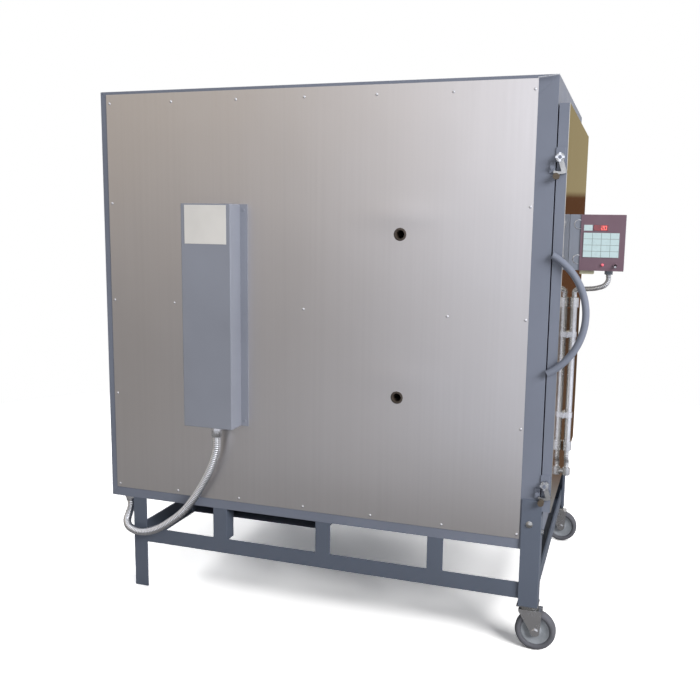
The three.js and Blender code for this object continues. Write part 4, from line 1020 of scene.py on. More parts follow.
class Sheet:
    """A thin sheet over a grid, bowed between its screws, with round holes and slots."""

    def __init__(self, outward, face, u_range, v_range, seed):
        self.outward = Vector(outward)
        self.along, self.up = basis(self.outward)
        self.face = face
        self.u_range = u_range
        self.v_range = v_range
        self.seed = seed
        self.holes = []
        self.slots = []
        self.ripples = []

    def bow(self, u, v):
        """How far the sheet stands proud at a place, nothing at its edges."""
        edge = min(
            u - self.u_range[0], self.u_range[1] - u, v - self.v_range[0], self.v_range[1] - v,
        )
        held = min(1.0, max(0.0, edge / HELD_EDGE))
        wide = noise.noise(Vector((u * WIDE_WAVES[0], v * WIDE_WAVES[1], self.seed)))
        near = noise.noise(Vector((u * NEAR_WAVES[0], v * NEAR_WAVES[1], self.seed + 5.0)))
        bulge = sizes().sheet_bow * (EVEN_BOW + WIDE_BOW * wide + NEAR_BOW * near)
        for middle_u, middle_v, height, reach_u, reach_v in self.ripples:
            far = ((u - middle_u) / reach_u) ** 2 + ((v - middle_v) / reach_v) ** 2
            bulge += height * math.exp(-far)
        return max(0.0, held * bulge)

    def point(self, u, v):
        return self.along * u + self.up * v + self.outward * (self.face + self.bow(u, v))

    def build(self, name):
        """The sheet with its openings. Round each hole, four cells square, the grid runs to a ring."""
        marks_u = [hole[0] + i * HOLE_CELL for hole in self.holes for i in range(-2, 3)]
        marks_v = [hole[1] + i * HOLE_CELL for hole in self.holes for i in range(-2, 3)]
        for low_u, high_u, low_v, high_v in self.slots:
            marks_u += [low_u, high_u]
            marks_v += [low_v, high_v]
        lines_u = sheet_lines(*self.u_range, marks_u)
        lines_v = sheet_lines(*self.v_range, marks_v)
        shape = bmesh.new()
        grid = [[shape.verts.new(self.point(u, v)) for v in lines_v] for u in lines_u]
        places = {grid[i][j]: (u, v) for i, u in enumerate(lines_u) for j, v in enumerate(lines_v)}
        reach = 2 * HOLE_CELL
        for i in range(len(lines_u) - 1):
            for j in range(len(lines_v) - 1):
                u = (lines_u[i] + lines_u[i + 1]) / 2
                v = (lines_v[j] + lines_v[j + 1]) / 2
                in_hole = any(max(abs(u - a), abs(v - b)) < reach for a, b, radius in self.holes)
                in_slot = any(a < u < b and c < v < d for a, b, c, d in self.slots)
                if not in_hole and not in_slot:
                    shape.faces.new((grid[i][j], grid[i + 1][j], grid[i + 1][j + 1], grid[i][j + 1]))
        for a, b, radius in self.holes:
            self.ring_round(shape, places, a, b, radius, reach)
        loose = [vertex for vertex in shape.verts if not vertex.link_faces]
        bmesh.ops.delete(shape, geom=loose, context="VERTS")
        sheet = from_bmesh(name, shape)
        thick = sheet.modifiers.new("Wall", "SOLIDIFY")
        thick.thickness = PANEL_WALL
        thick.offset = -1.0
        bake(sheet)
        return smoothed(sheet)

    def ring_round(self, shape, places, a, b, radius, reach):
        edge = [
            vertex for vertex, (u, v) in places.items()
            if abs(max(abs(u - a), abs(v - b)) - reach) < WELD_GAP
        ]
        edge.sort(key=lambda vertex: math.atan2(places[vertex][1] - b, places[vertex][0] - a))
        rings = [edge]
        for share in (0.5, 0.0):
            ring = []
            for vertex in edge:
                u, v = places[vertex]
                turn = math.atan2(v - b, u - a)
                round_u = a + radius * math.cos(turn)
                round_v = b + radius * math.sin(turn)
                ring.append(shape.verts.new(
                    self.point(round_u + (u - round_u) * share, round_v + (v - round_v) * share)
                ))
            rings.append(ring)
        for outer, inner in zip(rings, rings[1:]):
            for i in range(len(outer)):
                k = (i + 1) % len(outer)
                shape.faces.new((outer[i], outer[k], inner[k], inner[i]))


def face_box(node, outward, depth):
    """The sheet of a node: its level along outward and its two ranges, without its screw heads."""
    low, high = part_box(node)
    outward = Vector(outward)
    along, up = basis(outward)
    faces = [corner.dot(outward) for corner in (low, high)]
    ends_u = sorted(corner.dot(along) for corner in (low, high))
    ends_v = sorted(corner.dot(up) for corner in (low, high))
    return max(faces) - depth, tuple(ends_u), tuple(ends_v)


def screw_head():
    """A pan head with its washer rim, standing on the ground plane."""
    profile = [
        (SCREW_RADIUS, 0.0), (SCREW_RADIUS, SCREW_RIM), (SCREW_RADIUS * 0.86, SCREW_SHOULDER),
        (SCREW_RADIUS * 0.6, SCREW_DOME), (SCREW_RADIUS * 0.25, SCREW_HEIGHT),
        (SCREW_RADIUS * 0.22, SCREW_RECESS), (0.0, SCREW_RECESS),
    ]
    return turned("screw_head_pattern", profile, ORIGIN, UP, 12)


def repeated(name, pattern, points, outward, node, maker, spin=0.0, seed=1):
    """A copy of the pattern on each point, standing outward. The pattern itself is used up."""
    copies = grown(
        point_piece(name, points), stud_tree(), maker,
        Fastener=pattern, Outward=outward, Spin=spin, Seed=seed,
    )
    bpy.data.objects.remove(pattern)
    return settle(smoothed(copies), None, like=node)


def fastened(name, points, outward, node, seed):
    return repeated(name, screw_head(), points, outward, node, screw_steel, TURN, seed)


def spread(start, end, count):
    return [start + (end - start) * i / (count - 1) for i in range(count)]


def edge_spread(start, end, count):
    return spread(start + SCREW_EDGE, end - SCREW_EDGE, count)


def edge_grid(columns, rows):
    last_column = len(columns) - 1
    last_row = len(rows) - 1
    return [
        (a, b) for i, a in enumerate(columns) for j, b in enumerate(rows)
        if i in (0, last_column) or j in (0, last_row)
    ]


SIDE_SCREW_PITCH = 201.3 * MM
SIDE_SCREW_PITCH_UP = 282.7 * MM
SIDE_SCREW_REAR = 10.4 * MM
SIDE_SCREW_LOW = 11.0 * MM
SCREW_EDGE = 12.0 * MM


def side_screw_places(rear, front, low, high):
    run = rear - SIDE_SCREW_REAR - front - SCREW_RADIUS
    rise = high - low - SIDE_SCREW_LOW - SCREW_RADIUS
    columns = [
        rear - SIDE_SCREW_REAR - i * SIDE_SCREW_PITCH for i in range(int(run / SIDE_SCREW_PITCH) + 1)
    ]
    rows = [
        low + SIDE_SCREW_LOW + i * SIDE_SCREW_PITCH_UP
        for i in range(int(rise / SIDE_SCREW_PITCH_UP) + 1)
    ]
    middle = rows[len(rows) // 2]
    return edge_grid(columns, rows) + [(y, middle) for y in columns[1::2]]


class PanelsOperator(bpy.types.Operator):
    """Makes the stainless sheets of the sides, rear and top, bowed between their screws"""

    bl_idname = "kiln.dress_panels"
    bl_label = "Panels"

    def execute(self, context):
        sleeve_low, sleeve_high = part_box("peephole_sleeve_low")
        sleeve_radius = (sleeve_high.y - sleeve_low.y) / 2 + SLEEVE_GAP
        strip_low, strip_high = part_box("terminal_strip")
        left = Sheet((-1, 0, 0), *face_box("side_panel_left", (-1, 0, 0), SCREW_HEIGHT), 1.0)
        for node in ("peephole_sleeve_low", "peephole_sleeve_high"):
            low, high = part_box(node)
            middle = (low + high) / 2
            left.holes.append((middle.dot(left.along), middle.dot(left.up), sleeve_radius))
            left.ripples.append((middle.dot(left.along), middle.z + RIPPLE_RISE, *RIPPLE))
        edges = sorted(corner.dot(left.along) for corner in (strip_low, strip_high))
        left.slots.append((
            edges[0] + STRIP_INSET, edges[1] - STRIP_INSET, strip_low.z - STRIP_BELOW,
            strip_high.z + STRIP_ABOVE,
        ))
        settle(left.build("side_sheet_left"), brushed_panel, "side_panel_left")
        for node, name, outward, maker, seed in (
            ("side_panel_right", "side_sheet_right", (1, 0, 0), brushed_panel, 11.0),
            ("rear_panel", "rear_sheet", (0, 1, 0), brushed_panel, 21.0),
            ("top_panel", "top_sheet", (0, 0, 1), brushed_top, 31.0),
        ):
            sheet = Sheet(outward, *face_box(node, outward, SCREW_HEIGHT), seed)
            settle(sheet.build(name), maker, node)
        return {"FINISHED"}


class ScrewsOperator(bpy.types.Operator):
    """Sets the screw heads on the sheets"""

    bl_idname = "kiln.add_screws"
    bl_label = "Panel screws"

    def execute(self, context):
        for node, side, seed in (("side_panel_left", -1, 2), ("side_panel_right", 1, 4)):
            low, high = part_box(node)
            face = low.x + SCREW_HEIGHT if side < 0 else high.x - SCREW_HEIGHT
            places = side_screw_places(high.y, low.y, low.z, high.z)
            points = [(face + side * SCREW_LIFT, y, z) for y, z in places]
            fastened(f"{node}_screws", points, (side, 0, 0), node, seed)
        low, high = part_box("rear_panel")
        places = edge_grid(edge_spread(low.x, high.x, 4), edge_spread(low.z, high.z, 4))
        points = [(x, high.y - SCREW_HEIGHT + SCREW_LIFT, z) for x, z in places]
        fastened("rear_panel_screws", points, (0, 1, 0), "rear_panel", 6)
        low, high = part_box("top_panel")
        places = edge_grid(edge_spread(low.x, high.x, 3), edge_spread(low.y, high.y, 5))
        points = [(x, y, high.z - SCREW_HEIGHT + SCREW_LIFT) for x, y in places]
        fastened("top_panel_screws", points, (0, 0, 1), "top_panel", 8)
        return {"FINISHED"}


# Wiring box

LABEL_WIDTH = 128 * MM
LABEL_HEIGHT = 106 * MM
LABEL_DROP = 4 * MM
BOX_WALL = 1.5 * MM
FOLD_RADIUS = 2.6 * MM
LABEL_WALL = 0.8 * MM
NUT_HEIGHT = 14 * MM
NUT_RADIUS = 17 * MM
NUT_CHAMFER = 1.2 * MM
NUT_OVERLAP = 0.5 * MM
COLLAR_RADIUS = 14.5 * MM
COLLAR_CHAMFER = 0.8 * MM
COLLAR_OVERLAP = 0.2 * MM
BOX_COLLAR = 16 * MM
FLOOR_COLLAR = 8 * MM


def hex_fitting(name, centre, low, high, collar_height):
    """A hexagon nut with a round collar below it, upright."""
    collar_low = low - collar_height
    collar_high = low + COLLAR_OVERLAP
    nut = turned(
        f"{name}_nut",
        [
            (0.0, low), (NUT_RADIUS * 0.93, low), (NUT_RADIUS, low + NUT_CHAMFER), (NUT_RADIUS, high),
            (0.0, high),
        ],
        (centre[0], centre[1], 0), UP, 6,
    )
    collar = turned(
        f"{name}_collar",
        [
            (0.0, collar_low), (COLLAR_RADIUS * 0.94, collar_low),
            (COLLAR_RADIUS, collar_low + COLLAR_CHAMFER), (COLLAR_RADIUS, collar_high), (0.0, collar_high),
        ],
        (centre[0], centre[1], 0), UP, 28,
    )
    return joined(name, [rounded(nut, THIN_EDGE), smoothed(collar)])


class WiringBoxOperator(bpy.types.Operator):
    """Makes the wiring box: its folded cover, its flanged back plate, blank label and connector"""

    bl_idname = "kiln.make_wiring_box"
    bl_label = "Wiring box"

    def execute(self, context):
        plate_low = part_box("wiring_back_plate")[0]
        dressed("wiring_back_plate", cover_paint, THIN_EDGE)
        low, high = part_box("wiring_cover")
        low = Vector((low.x + LABEL_WALL, low.y, plate_low.z))
        shape = block(low, high)
        seat = [face for face in shape.faces if face.normal.x > 0.9]
        bmesh.ops.delete(shape, geom=seat, context="FACES_ONLY")
        folds = [edge for edge in shape.edges if len(edge.link_faces) == 2]
        bmesh.ops.bevel(
            shape, geom=folds, offset=FOLD_RADIUS, segments=4, profile=0.5, affect="EDGES",
        )
        cover = from_bmesh("wiring_cover_shell", shape)
        thick = cover.modifiers.new("Wall", "SOLIDIFY")
        thick.thickness = BOX_WALL
        thick.offset = -1.0
        bake(cover)
        settle(rounded(cover, 0.0), cover_paint, "wiring_cover")
        self.label(low, high)
        fitting = hex_fitting(
            "box_connector", main_conduit_route()[0], plate_low.z - NUT_HEIGHT,
            plate_low.z + NUT_OVERLAP, BOX_COLLAR,
        )
        settle(fitting, galvanized, like="wiring_cover")
        return {"FINISHED"}

    def label(self, low, high):
        middle = (low.y + high.y) / 2
        top = high.z - LABEL_DROP
        plate = box_shape(
            "blank_label",
            (low.x - LABEL_WALL - SEAT, middle - LABEL_WIDTH / 2, top - LABEL_HEIGHT),
            (low.x - SEAT, middle + LABEL_WIDTH / 2, top),
        )
        settle(rounded(plate, SMALL_EDGE), blank_label, like="wiring_cover")


# Flexible conduits

MAIN_RIB = 1.2 * MM
WHIP_RIB = 0.8 * MM


def main_conduit_route():
    """The route of the large conduit, from the wiring box to the floor of the body."""
    return from_part(
        (-0.4646, 0.266, 0.5267), (-0.4646, 0.266, 0.498), (-0.464, 0.268, 0.470),
        (-0.464, 0.278, 0.436), (-0.463, 0.296, 0.395), (-0.461, 0.321, 0.352),
        (-0.460, 0.346, 0.314), (-0.459, 0.381, 0.271), (-0.458, 0.425, 0.234),
        (-0.457, 0.475, 0.202), (-0.455, 0.522, 0.186), (-0.452, 0.556, 0.186),
        (-0.444, 0.583, 0.194), (-0.428, 0.598, 0.206), (-0.410, 0.602, 0.222),
        (-0.4007, 0.6005, 0.241), (-0.4007, 0.6005, 0.2674),
    )


def upper_whip_route():
    """The route of the small conduit from the controller to the tube on the door."""
    return from_part(
        (-0.2014, -0.7798, 0.9947), (-0.2014, -0.7798, 0.9790), (-0.2000, -0.7720, 0.9660),
        (-0.1900, -0.7520, 0.9570), (-0.1700, -0.7240, 0.9520), (-0.1510, -0.7010, 0.9490),
        (-0.1404, -0.6899, 0.9410), (-0.1404, -0.6899, 0.9243),
    )


def lower_whip_route():
    """The route of the short conduit from the tube on the door to its elbow."""
    return from_part(
        (-0.1404, -0.6899, 0.4817), (-0.1404, -0.6899, 0.4660), (-0.1360, -0.6899, 0.4540),
        (-0.1230, -0.6899, 0.4460), (-0.1177, -0.6899, 0.4370), (-0.1177, -0.6899, 0.4233),
    )


def hose(name, route, radius, rib, pitch, node):
    path = smooth_path(route)
    piece = grown(
        line_piece(name, path), hose_tree(), galvanized, Outer_Radius=radius, Rib_Height=rib, Rib_Pitch=pitch,
    )
    settle(piece, None, node)
    return piece, path


class ConduitOperator(bpy.types.Operator):
    """Lays the ribbed flexible conduits along their routes, with the fitting under the floor"""

    bl_idname = "kiln.lay_conduits"
    bl_label = "Flexible conduits"

    def execute(self, context):
        main_radius, main_pitch = sizes().conduit_radius, sizes().conduit_rib_pitch
        whip_radius, whip_pitch = sizes().whip_radius, sizes().whip_rib_pitch
        main, main_path = hose(
            "main_conduit_hose", main_conduit_route(), main_radius, MAIN_RIB, main_pitch, "main_conduit",
        )
        upper, upper_path = hose(
            "door_conduit_upper_hose", upper_whip_route(), whip_radius, WHIP_RIB, whip_pitch,
            "door_flex_upper",
        )
        hose(
            "door_conduit_lower_hose", lower_whip_route(), whip_radius, WHIP_RIB, whip_pitch,
            "door_flex_lower",
        )
        low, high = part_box("conduit_connector")
        fitting = hex_fitting("floor_connector", (low + high) / 2, low.z, high.z, FLOOR_COLLAR)
        settle(fitting, galvanized, "conduit_connector")
        return {"FINISHED"}


# Casters

AXLE_RADIUS = 5.2 * MM
CAP_RADIUS = 13 * MM
BOSS_RADIUS = 15 * MM
BOSS_FOOT_RADIUS = 17 * MM
CROWN_DROP = 0.4 * MM


def both_sides(half_profile, *crown):
    """A profile given from its inner edge out, as pairs of radius and width, and mirrored back."""
    return [
        *((radius, -width) for radius, width in half_profile), *crown,
        *((radius, width) for radius, width in reversed(half_profile)),
    ]


def wheel(side):
    """A caster wheel: a rounded tread with a dished web, and a lighter hub with its axle cap."""
    node = f"caster_wheel_{side}"
    low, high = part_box(node)
    middle = (low + high) / 2
    radius = (high.z - low.z) / 2
    half = (high.x - low.x) / 2
    tread = both_sides(
        (
            (radius * 0.70, half * 0.62), (radius * 0.76, half * 0.93), (radius * 0.84, half),
            (radius * 0.92, half * 0.93), ((radius - CROWN_DROP) * 0.975, half * 0.72),
            (radius * 0.997, half * 0.36),
        ),
        (radius, 0.0),
    )
    tyre = turned(f"{node}_tyre", tread, middle, (1, 0, 0), 72, closed=True)
    settle(smoothed(tyre), wheel_rubber, node)
    core = radius * 0.71
    hub = both_sides((
        (AXLE_RADIUS, half * 0.98), (CAP_RADIUS, half * 0.98), (BOSS_RADIUS, half * 0.86),
        (BOSS_FOOT_RADIUS, half * 0.50), (core * 0.72, half * 0.44), (core * 0.86, half * 0.60),
        (core * 0.94, half * 0.70), (core, half * 0.64),
    ))
    web = turned(f"{node}_hub", hub, middle, (1, 0, 0), 56, closed=True)
    settle(smoothed(web, math.radians(40)), wheel_hub, like=node)


class CastersOperator(bpy.types.Operator):
    """Makes the two swivel casters: plate and race, fork, and wheel with its hub"""

    bl_idname = "kiln.make_casters"
    bl_label = "Casters"

    def execute(self, context):
        for side in ("left", "right"):
            dressed(f"caster_mount_{side}", zinc_plate, PLATED_EDGE)
            dressed(f"caster_fork_{side}", galvanized, FOLDED_EDGE)
            wheel(side)
        return {"FINISHED"}


# Lining, seal and what the chamber holds

PIERCED_WALL = "lining_wall_left"
BRICK_OF_NODE = {
    PIERCED_WALL: side_brick, "lining_wall_right": side_brick, "lining_wall_rear": cross_brick,
    "lining_roof": level_brick, "lining_floor": level_brick, "door_bricks": cross_brick,
}
SLEEVE_WALL = 6.0 * MM
SLEEVE_FLARE = 1.0 * MM
SLEEVE_FLARE_DEPTH = 1.2 * MM
COIL_RADIUS = 4.9 * MM
COIL_WIRE_RADIUS = 1.1 * MM
LEAD_RADIUS = 3.0 * MM
ELEMENT_CORNER = 26 * MM
ELEMENT_ROD_RADIUS = 6 * MM
GROOVE_REACH = 8 * MM
LEAD_SPREAD = 18 * MM


class LiningOperator(bpy.types.Operator):
    """Lays the firebrick lining, the brick plug of the door, its fibre seal and the peephole sleeves"""

    bl_idname = "kiln.lay_lining"
    bl_label = "Lining and seal"

    def execute(self, context):
        for node, maker in BRICK_OF_NODE.items():
            dressed(node, maker, CAST_EDGE if node == PIERCED_WALL else BRICK_EDGE)
        dressed("door_seal", ceramic_fibre, CAST_EDGE, 3)
        for node in ("peephole_sleeve_low", "peephole_sleeve_high"):
            self.sleeve(node)
        return {"FINISHED"}

    def sleeve(self, node):
        low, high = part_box(node)
        middle = Vector((low.x, (low.y + high.y) / 2, (low.z + high.z) / 2))
        radius = (high.y - low.y) / 2
        bore = radius - SLEEVE_WALL
        length = high.x - low.x
        wall = [
            (bore, length), (bore, SLEEVE_FLARE_DEPTH), (bore + SLEEVE_FLARE, 0.0),
            (radius - FIRED_EDGE, 0.0), (radius, FIRED_EDGE), (radius, length),
        ]
        tube = turned(f"{node}_tube", wall, middle, (1, 0, 0), 40, closed=True)
        # The sleeve is coloured near-black, so that the peephole reads dark all over.
        settle(smoothed(tube), dark_peephole_ceramic, node)


class ElementsOperator(bpy.types.Operator):
    """Winds the heating elements along their grooves, with their leads, terminals and thermocouple"""

    bl_idname = "kiln.wind_elements"
    bl_label = "Elements"

    def execute(self, context):
        strip_low, strip_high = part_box("terminal_strip")
        for node in ("heating_element_low", "heating_element_middle", "heating_element_high"):
            self.element(node, strip_low, strip_high)
        dressed("terminal_strip", ceramic, FIRED_EDGE)
        dressed("thermocouple", ceramic, PLATED_EDGE)
        return {"FINISHED"}

    def element(self, node, strip_low, strip_high):
        low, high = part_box(node)
        radius = ELEMENT_ROD_RADIUS
        levels = [low.z + radius, high.z - radius]
        middle = (strip_low.z + strip_high.z) / 2
        near, far = sorted(levels, key=lambda level: abs(level - middle))
        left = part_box(PIERCED_WALL)[1].x - GROOVE_REACH
        right = high.x - radius
        rear = high.y - radius
        front = low.y + radius
        lead = (strip_low.y + strip_high.y) / 2
        half = LEAD_SPREAD
        route = [
            Vector(place) for place in (
                (left, lead + half, near), (left, rear, near), (right, rear, near), (right, front, near),
                (right, front, far), (right, rear, far), (left, rear, far), (left, front, far),
                (left, front, near), (left, lead - half, near),
            )
        ]
        coil = grown(
            line_piece(f"{node}_coil", cornered_path(route, ELEMENT_CORNER)), coil_tree(), element_wire,
            Coil_Radius=COIL_RADIUS, Wire_Radius=COIL_WIRE_RADIUS, Pitch=sizes().coil_pitch,
        )
        leads = [
            grown(
                line_piece(f"{node}_lead", [Vector((low.x, y, near)), Vector((left, y, near))]),
                tube_tree(), element_wire, Radius=LEAD_RADIUS, Sides=16,
            )
            for y in (lead - half, lead + half)
        ]
        settle(joined(f"{node}_wound", [coil, *leads]), None, node)


# Door

HANDLE_HALF_SPREAD = 148 * MM
HANDLE_END_OUT = 3.5 * MM


class DoorOperator(bpy.types.Operator):
    """Makes the door: its welded frame, its bright skin and its bow handle"""

    bl_idname = "kiln.make_door"
    bl_label = "Door"

    def execute(self, context):
        dressed("door_frame", grey_paint, FOLDED_EDGE)
        skin = Sheet((0, -1, 0), *face_box("door_skin", (0, -1, 0), 0.0), 41.0)
        settle(skin.build("door_skin_sheet"), door_skin, "door_skin")
        self.handle()
        return {"FINISHED"}

    def handle(self):
        """A bar bent to a bow, on the circle through its two ends and its crown."""
        low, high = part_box("door_handle")
        radius = (high.x - low.x) / 2
        x = (low.x + high.x) / 2
        z = (low.z + high.z) / 2
        end_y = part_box("door_frame")[1].y - HANDLE_END_OUT
        crown_y = low.y + radius
        half = HANDLE_HALF_SPREAD
        rise = end_y - crown_y
        bend = (half ** 2 + rise ** 2) / (2 * rise)
        centre_y = crown_y + bend
        reach = math.asin(half / bend)
        bow = [
            Vector((x, centre_y - bend * math.cos(turn), z + bend * math.sin(turn)))
            for turn in spread(-reach, reach, 49)
        ]
        bar = grown(line_piece("bow_handle", bow), tube_tree(), grey_paint, Radius=radius, Sides=28)
        settle(smoothed(bar), None, "door_handle")


# Latches

GRIP_LENGTH = 17.0 * MM


class LatchesOperator(bpy.types.Operator):
    """Plates the latch levers and their knobs, and fits the grips"""

    bl_idname = "kiln.fit_latches"
    bl_label = "Latches"

    def execute(self, context):
        for end in ("top", "bottom"):
            lever = dressed(f"latch_lever_{end}", zinc_plate, PLATED_EDGE)
            grip_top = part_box(f"latch_lever_{end}")[0].z + GRIP_LENGTH
            lever.data.materials.append(finish_of(grip_plastic))
            for face in lever.data.polygons:
                if face.center.z < grip_top:
                    face.material_index = 1
            dressed(f"latch_knob_{end}", bright_metal, KNOB_EDGE, 3)
        return {"FINISHED"}


# Controller

PLATE_WALL = 2.0 * MM
KEYPAD_PROUD = 0.9 * MM
KEY_GAP = 1.1 * MM
KEY_HEIGHT = 0.35 * MM
FILM_EDGE = 1.2 * MM
KEYPAD_SIDE = 13 * MM
KEYPAD_DROP = 113 * MM
KEYPAD_WIDTH = 93.4 * MM
KEYPAD_HEIGHT = 67 * MM
WINDOW_GAP = 3 * MM
WINDOW_SIDE = 8 * MM
KNOCKOUT_RADIUS = 13.0 * MM
KNOCKOUT_HEIGHT = 0.8 * MM
KNOCKOUT_IN = 5 * MM
KNOCKOUT_DROP = 26 * MM
KNOCKOUT_RISE = 29 * MM
CLAMP_START = Vector((-26 * MM, -38 * MM, -10 * MM))
CLAMP_STOP = Vector((-4 * MM, -1 * MM, SEAT))
FILM_PROUD = 0.2 * MM
KEY_LIFT = 0.19 * MM
WINDOW_PROUD = 0.5 * MM

# The lit digits: their height is a share of the window's, and the rest are shares of that height
DIGIT_SIDE = 2.5 * MM
DIGIT_PROUD = 0.15 * MM
DIGIT_HEIGHT = 0.62
DIGIT_WIDTH = 0.55
DIGIT_BAR = 0.11
DIGIT_PITCH = 1.45
SEGMENTS_OF_DIGIT = {2: "abged", 0: "abcdef"}


def plate_patch(name, face, low, high, proud, maker, node):
    """A thin plate on the controller's face, over a span of Y and Z."""
    patch = box_shape(name, (face - proud, low[0], low[1]), (face + SEAT, high[0], high[1]))
    return settle(rounded(patch, HAIR_EDGE), maker, like=node)


class ControllerOperator(bpy.types.Operator):
    """Makes the controller on the door: housing, plate, keypad, display, lamp, switch and board"""

    bl_idname = "kiln.make_controller"
    bl_label = "Controller"

    def execute(self, context):
        self.housing()
        dressed("controller_faceplate", faceplate_maroon, THIN_EDGE)
        dressed("controller_board", board_green, GLASS_EDGE)
        dressed("power_switch", bright_metal, SMALL_EDGE)
        self.lamp()
        self.keypad()
        self.display()
        return {"FINISHED"}

    def housing(self):
        """The housing, with the round knockouts beside its plate and the cord clamp below it."""
        dressed("controller_housing", housing_grey, CAST_EDGE)
        low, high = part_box("controller_housing")
        plate_low, plate_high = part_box("controller_faceplate")
        middle_y = plate_high.y + KNOCKOUT_IN
        rim = [
            (KNOCKOUT_RADIUS * 0.82, SEAT), (KNOCKOUT_RADIUS * 0.86, KNOCKOUT_HEIGHT),
            (KNOCKOUT_RADIUS * 0.95, KNOCKOUT_HEIGHT), (KNOCKOUT_RADIUS, SEAT),
        ]
        for middle_z in (high.z - KNOCKOUT_DROP, plate_low.z + KNOCKOUT_RISE):
            ring = turned("knockout_rim", rim, (low.x, middle_y, middle_z), (-1, 0, 0), 40, closed=True)
            settle(smoothed(ring), bright_metal, like="controller_housing")
        corner = Vector(((low.x + high.x) / 2, plate_high.y, plate_low.z))
        clamp = box_shape("cord_clamp", corner + CLAMP_START, corner + CLAMP_STOP)
        settle(rounded(clamp, CLAMP_EDGE, 3), cream_fitting, like="controller_housing")

    def lamp(self):
        low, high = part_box("pilot_lamp")
        middle = (low + high) / 2
        radius = (high.z - low.z) / 2
        length = high.x - low.x
        lens = [
            (0.0, length / 2), (radius, length / 2), (radius, -length * 0.1), (radius * 0.9, -length * 0.28),
            (radius * 0.62, -length * 0.43), (radius * 0.3, -length * 0.49), (0.0, -length / 2),
        ]
        settle(smoothed(turned("lamp_lens", lens, middle, (1, 0, 0), 28)), lamp_red, "pilot_lamp")

    def keypad(self):
        """The film of the keypad with its raised keys, and the pale window beside the display."""
        low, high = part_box("controller_faceplate")
        face = high.x - PLATE_WALL - KEYPAD_PROUD
        start = Vector((low.y + KEYPAD_SIDE + FILM_EDGE, high.z - KEYPAD_DROP + FILM_EDGE))
        stop = Vector((start.x + KEYPAD_WIDTH - 2 * FILM_EDGE, start.y + KEYPAD_HEIGHT - 2 * FILM_EDGE))
        plate_patch("keypad_film", face, start, stop, FILM_PROUD, key_line, "controller_faceplate")
        columns, rows = sizes().key_columns, sizes().key_rows
        pitch_y = (stop.x - start.x) / columns
        pitch_z = (stop.y - start.y) / rows
        half = Vector(((pitch_z - KEY_GAP) / 2, (pitch_y - KEY_GAP) / 2, 0.0))
        key = rounded(box_shape("key_pattern", -half, half + Vector((0, 0, KEY_HEIGHT))), HAIR_EDGE)
        places = [
            (face - KEY_LIFT, start.x + (i + 0.5) * pitch_y, start.y + (j + 0.5) * pitch_z)
            for i in range(columns) for j in range(rows)
        ]
        repeated("keys", key, places, (-1, 0, 0), "controller_faceplate", keypad_film)
        window_low, window_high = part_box("display_window")
        plate = high.x - PLATE_WALL
        beside = (window_high.y + WINDOW_GAP, window_low.z)
        corner = (high.y - WINDOW_SIDE, window_high.z)
        plate_patch(
            "pale_window", plate, beside, corner, WINDOW_PROUD, keypad_film, "controller_faceplate",
        )

    def display(self):
        """The red window with two lit digits at its right end."""
        dressed("display_window", display_glass, GLASS_EDGE)
        low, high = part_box("display_window")
        tall = (high.z - low.z) * DIGIT_HEIGHT
        wide = tall * DIGIT_WIDTH
        bar = tall * DIGIT_BAR
        middle_z = (low.z + high.z) / 2
        strokes = {
            "a": (0, 1, 1, 1), "g": (0, 0, 1, 0), "d": (0, -1, 1, -1),
            "f": (0, 0, 0, 1), "b": (1, 0, 1, 1), "e": (0, -1, 0, 0), "c": (1, -1, 1, 0),
        }
        lit = []
        for place, digit in enumerate((2, 0)):
            left = low.y + DIGIT_SIDE + (2 - place) * wide * DIGIT_PITCH
            for stroke in SEGMENTS_OF_DIGIT[digit]:
                y0, z0, y1, z1 = strokes[stroke]
                ends_y = sorted((left - y0 * wide, left - y1 * wide))
                ends_z = sorted((middle_z + z0 * tall / 2, middle_z + z1 * tall / 2))
                lit.append(box_shape(
                    "segment",
                    (low.x - DIGIT_PROUD, ends_y[0] - bar / 2, ends_z[0] - bar / 2),
                    (low.x + SEAT, ends_y[1] + bar / 2, ends_z[1] + bar / 2),
                ))
        settle(joined("display_digits", lit), display_digit, like="display_window")


# Conduit on the door


class DoorConduitOperator(bpy.types.Operator):
    """Dresses the rigid conduit down the door, its couplings, its straps and its elbow"""

    bl_idname = "kiln.dress_door_conduit"
    bl_label = "Door conduit"

    def execute(self, context):
        dressed("door_conduit_tube", galvanized, PLATED_EDGE)
        dressed("door_conduit_elbow", galvanized, CAST_EDGE)
        return {"FINISHED"}


# Stage, lights and camera

CAMERA_PLACE = Vector((-2.49212, -0.75715, 1.12877))
CAMERA_YAW = 0.3163
CAMERA_PITCH = 0.1453
CAMERA_ROLL = -0.0143
CAMERA_LENS = 42.28
CAMERA_SHIFT = (-0.0172, -0.0125)
SENSOR_WIDTH = 36.0
FLOOR_RADIUS = 9.0
SOFT_PATCH = Vector((-0.62, -0.66, 0.42))
WHITE_FLOOR_FROM = 1.6
WHITE_FLOOR_FULL = 3.2

# Each lamp's place, the point it faces, its width and height, its power in watts and its colour
LAMPS = {
    "Key": ((-2.7, -3.9, 2.8), (0.0, -0.1, 0.9), (2.4, 2.0), 250.0, (1.0, 0.99, 0.98)),
    "Back": ((2.8, 4.2, 3.0), (0.1, 0.1, 0.8), (2.6, 2.2), 190.0, (1.0, 1.0, 1.0)),
}


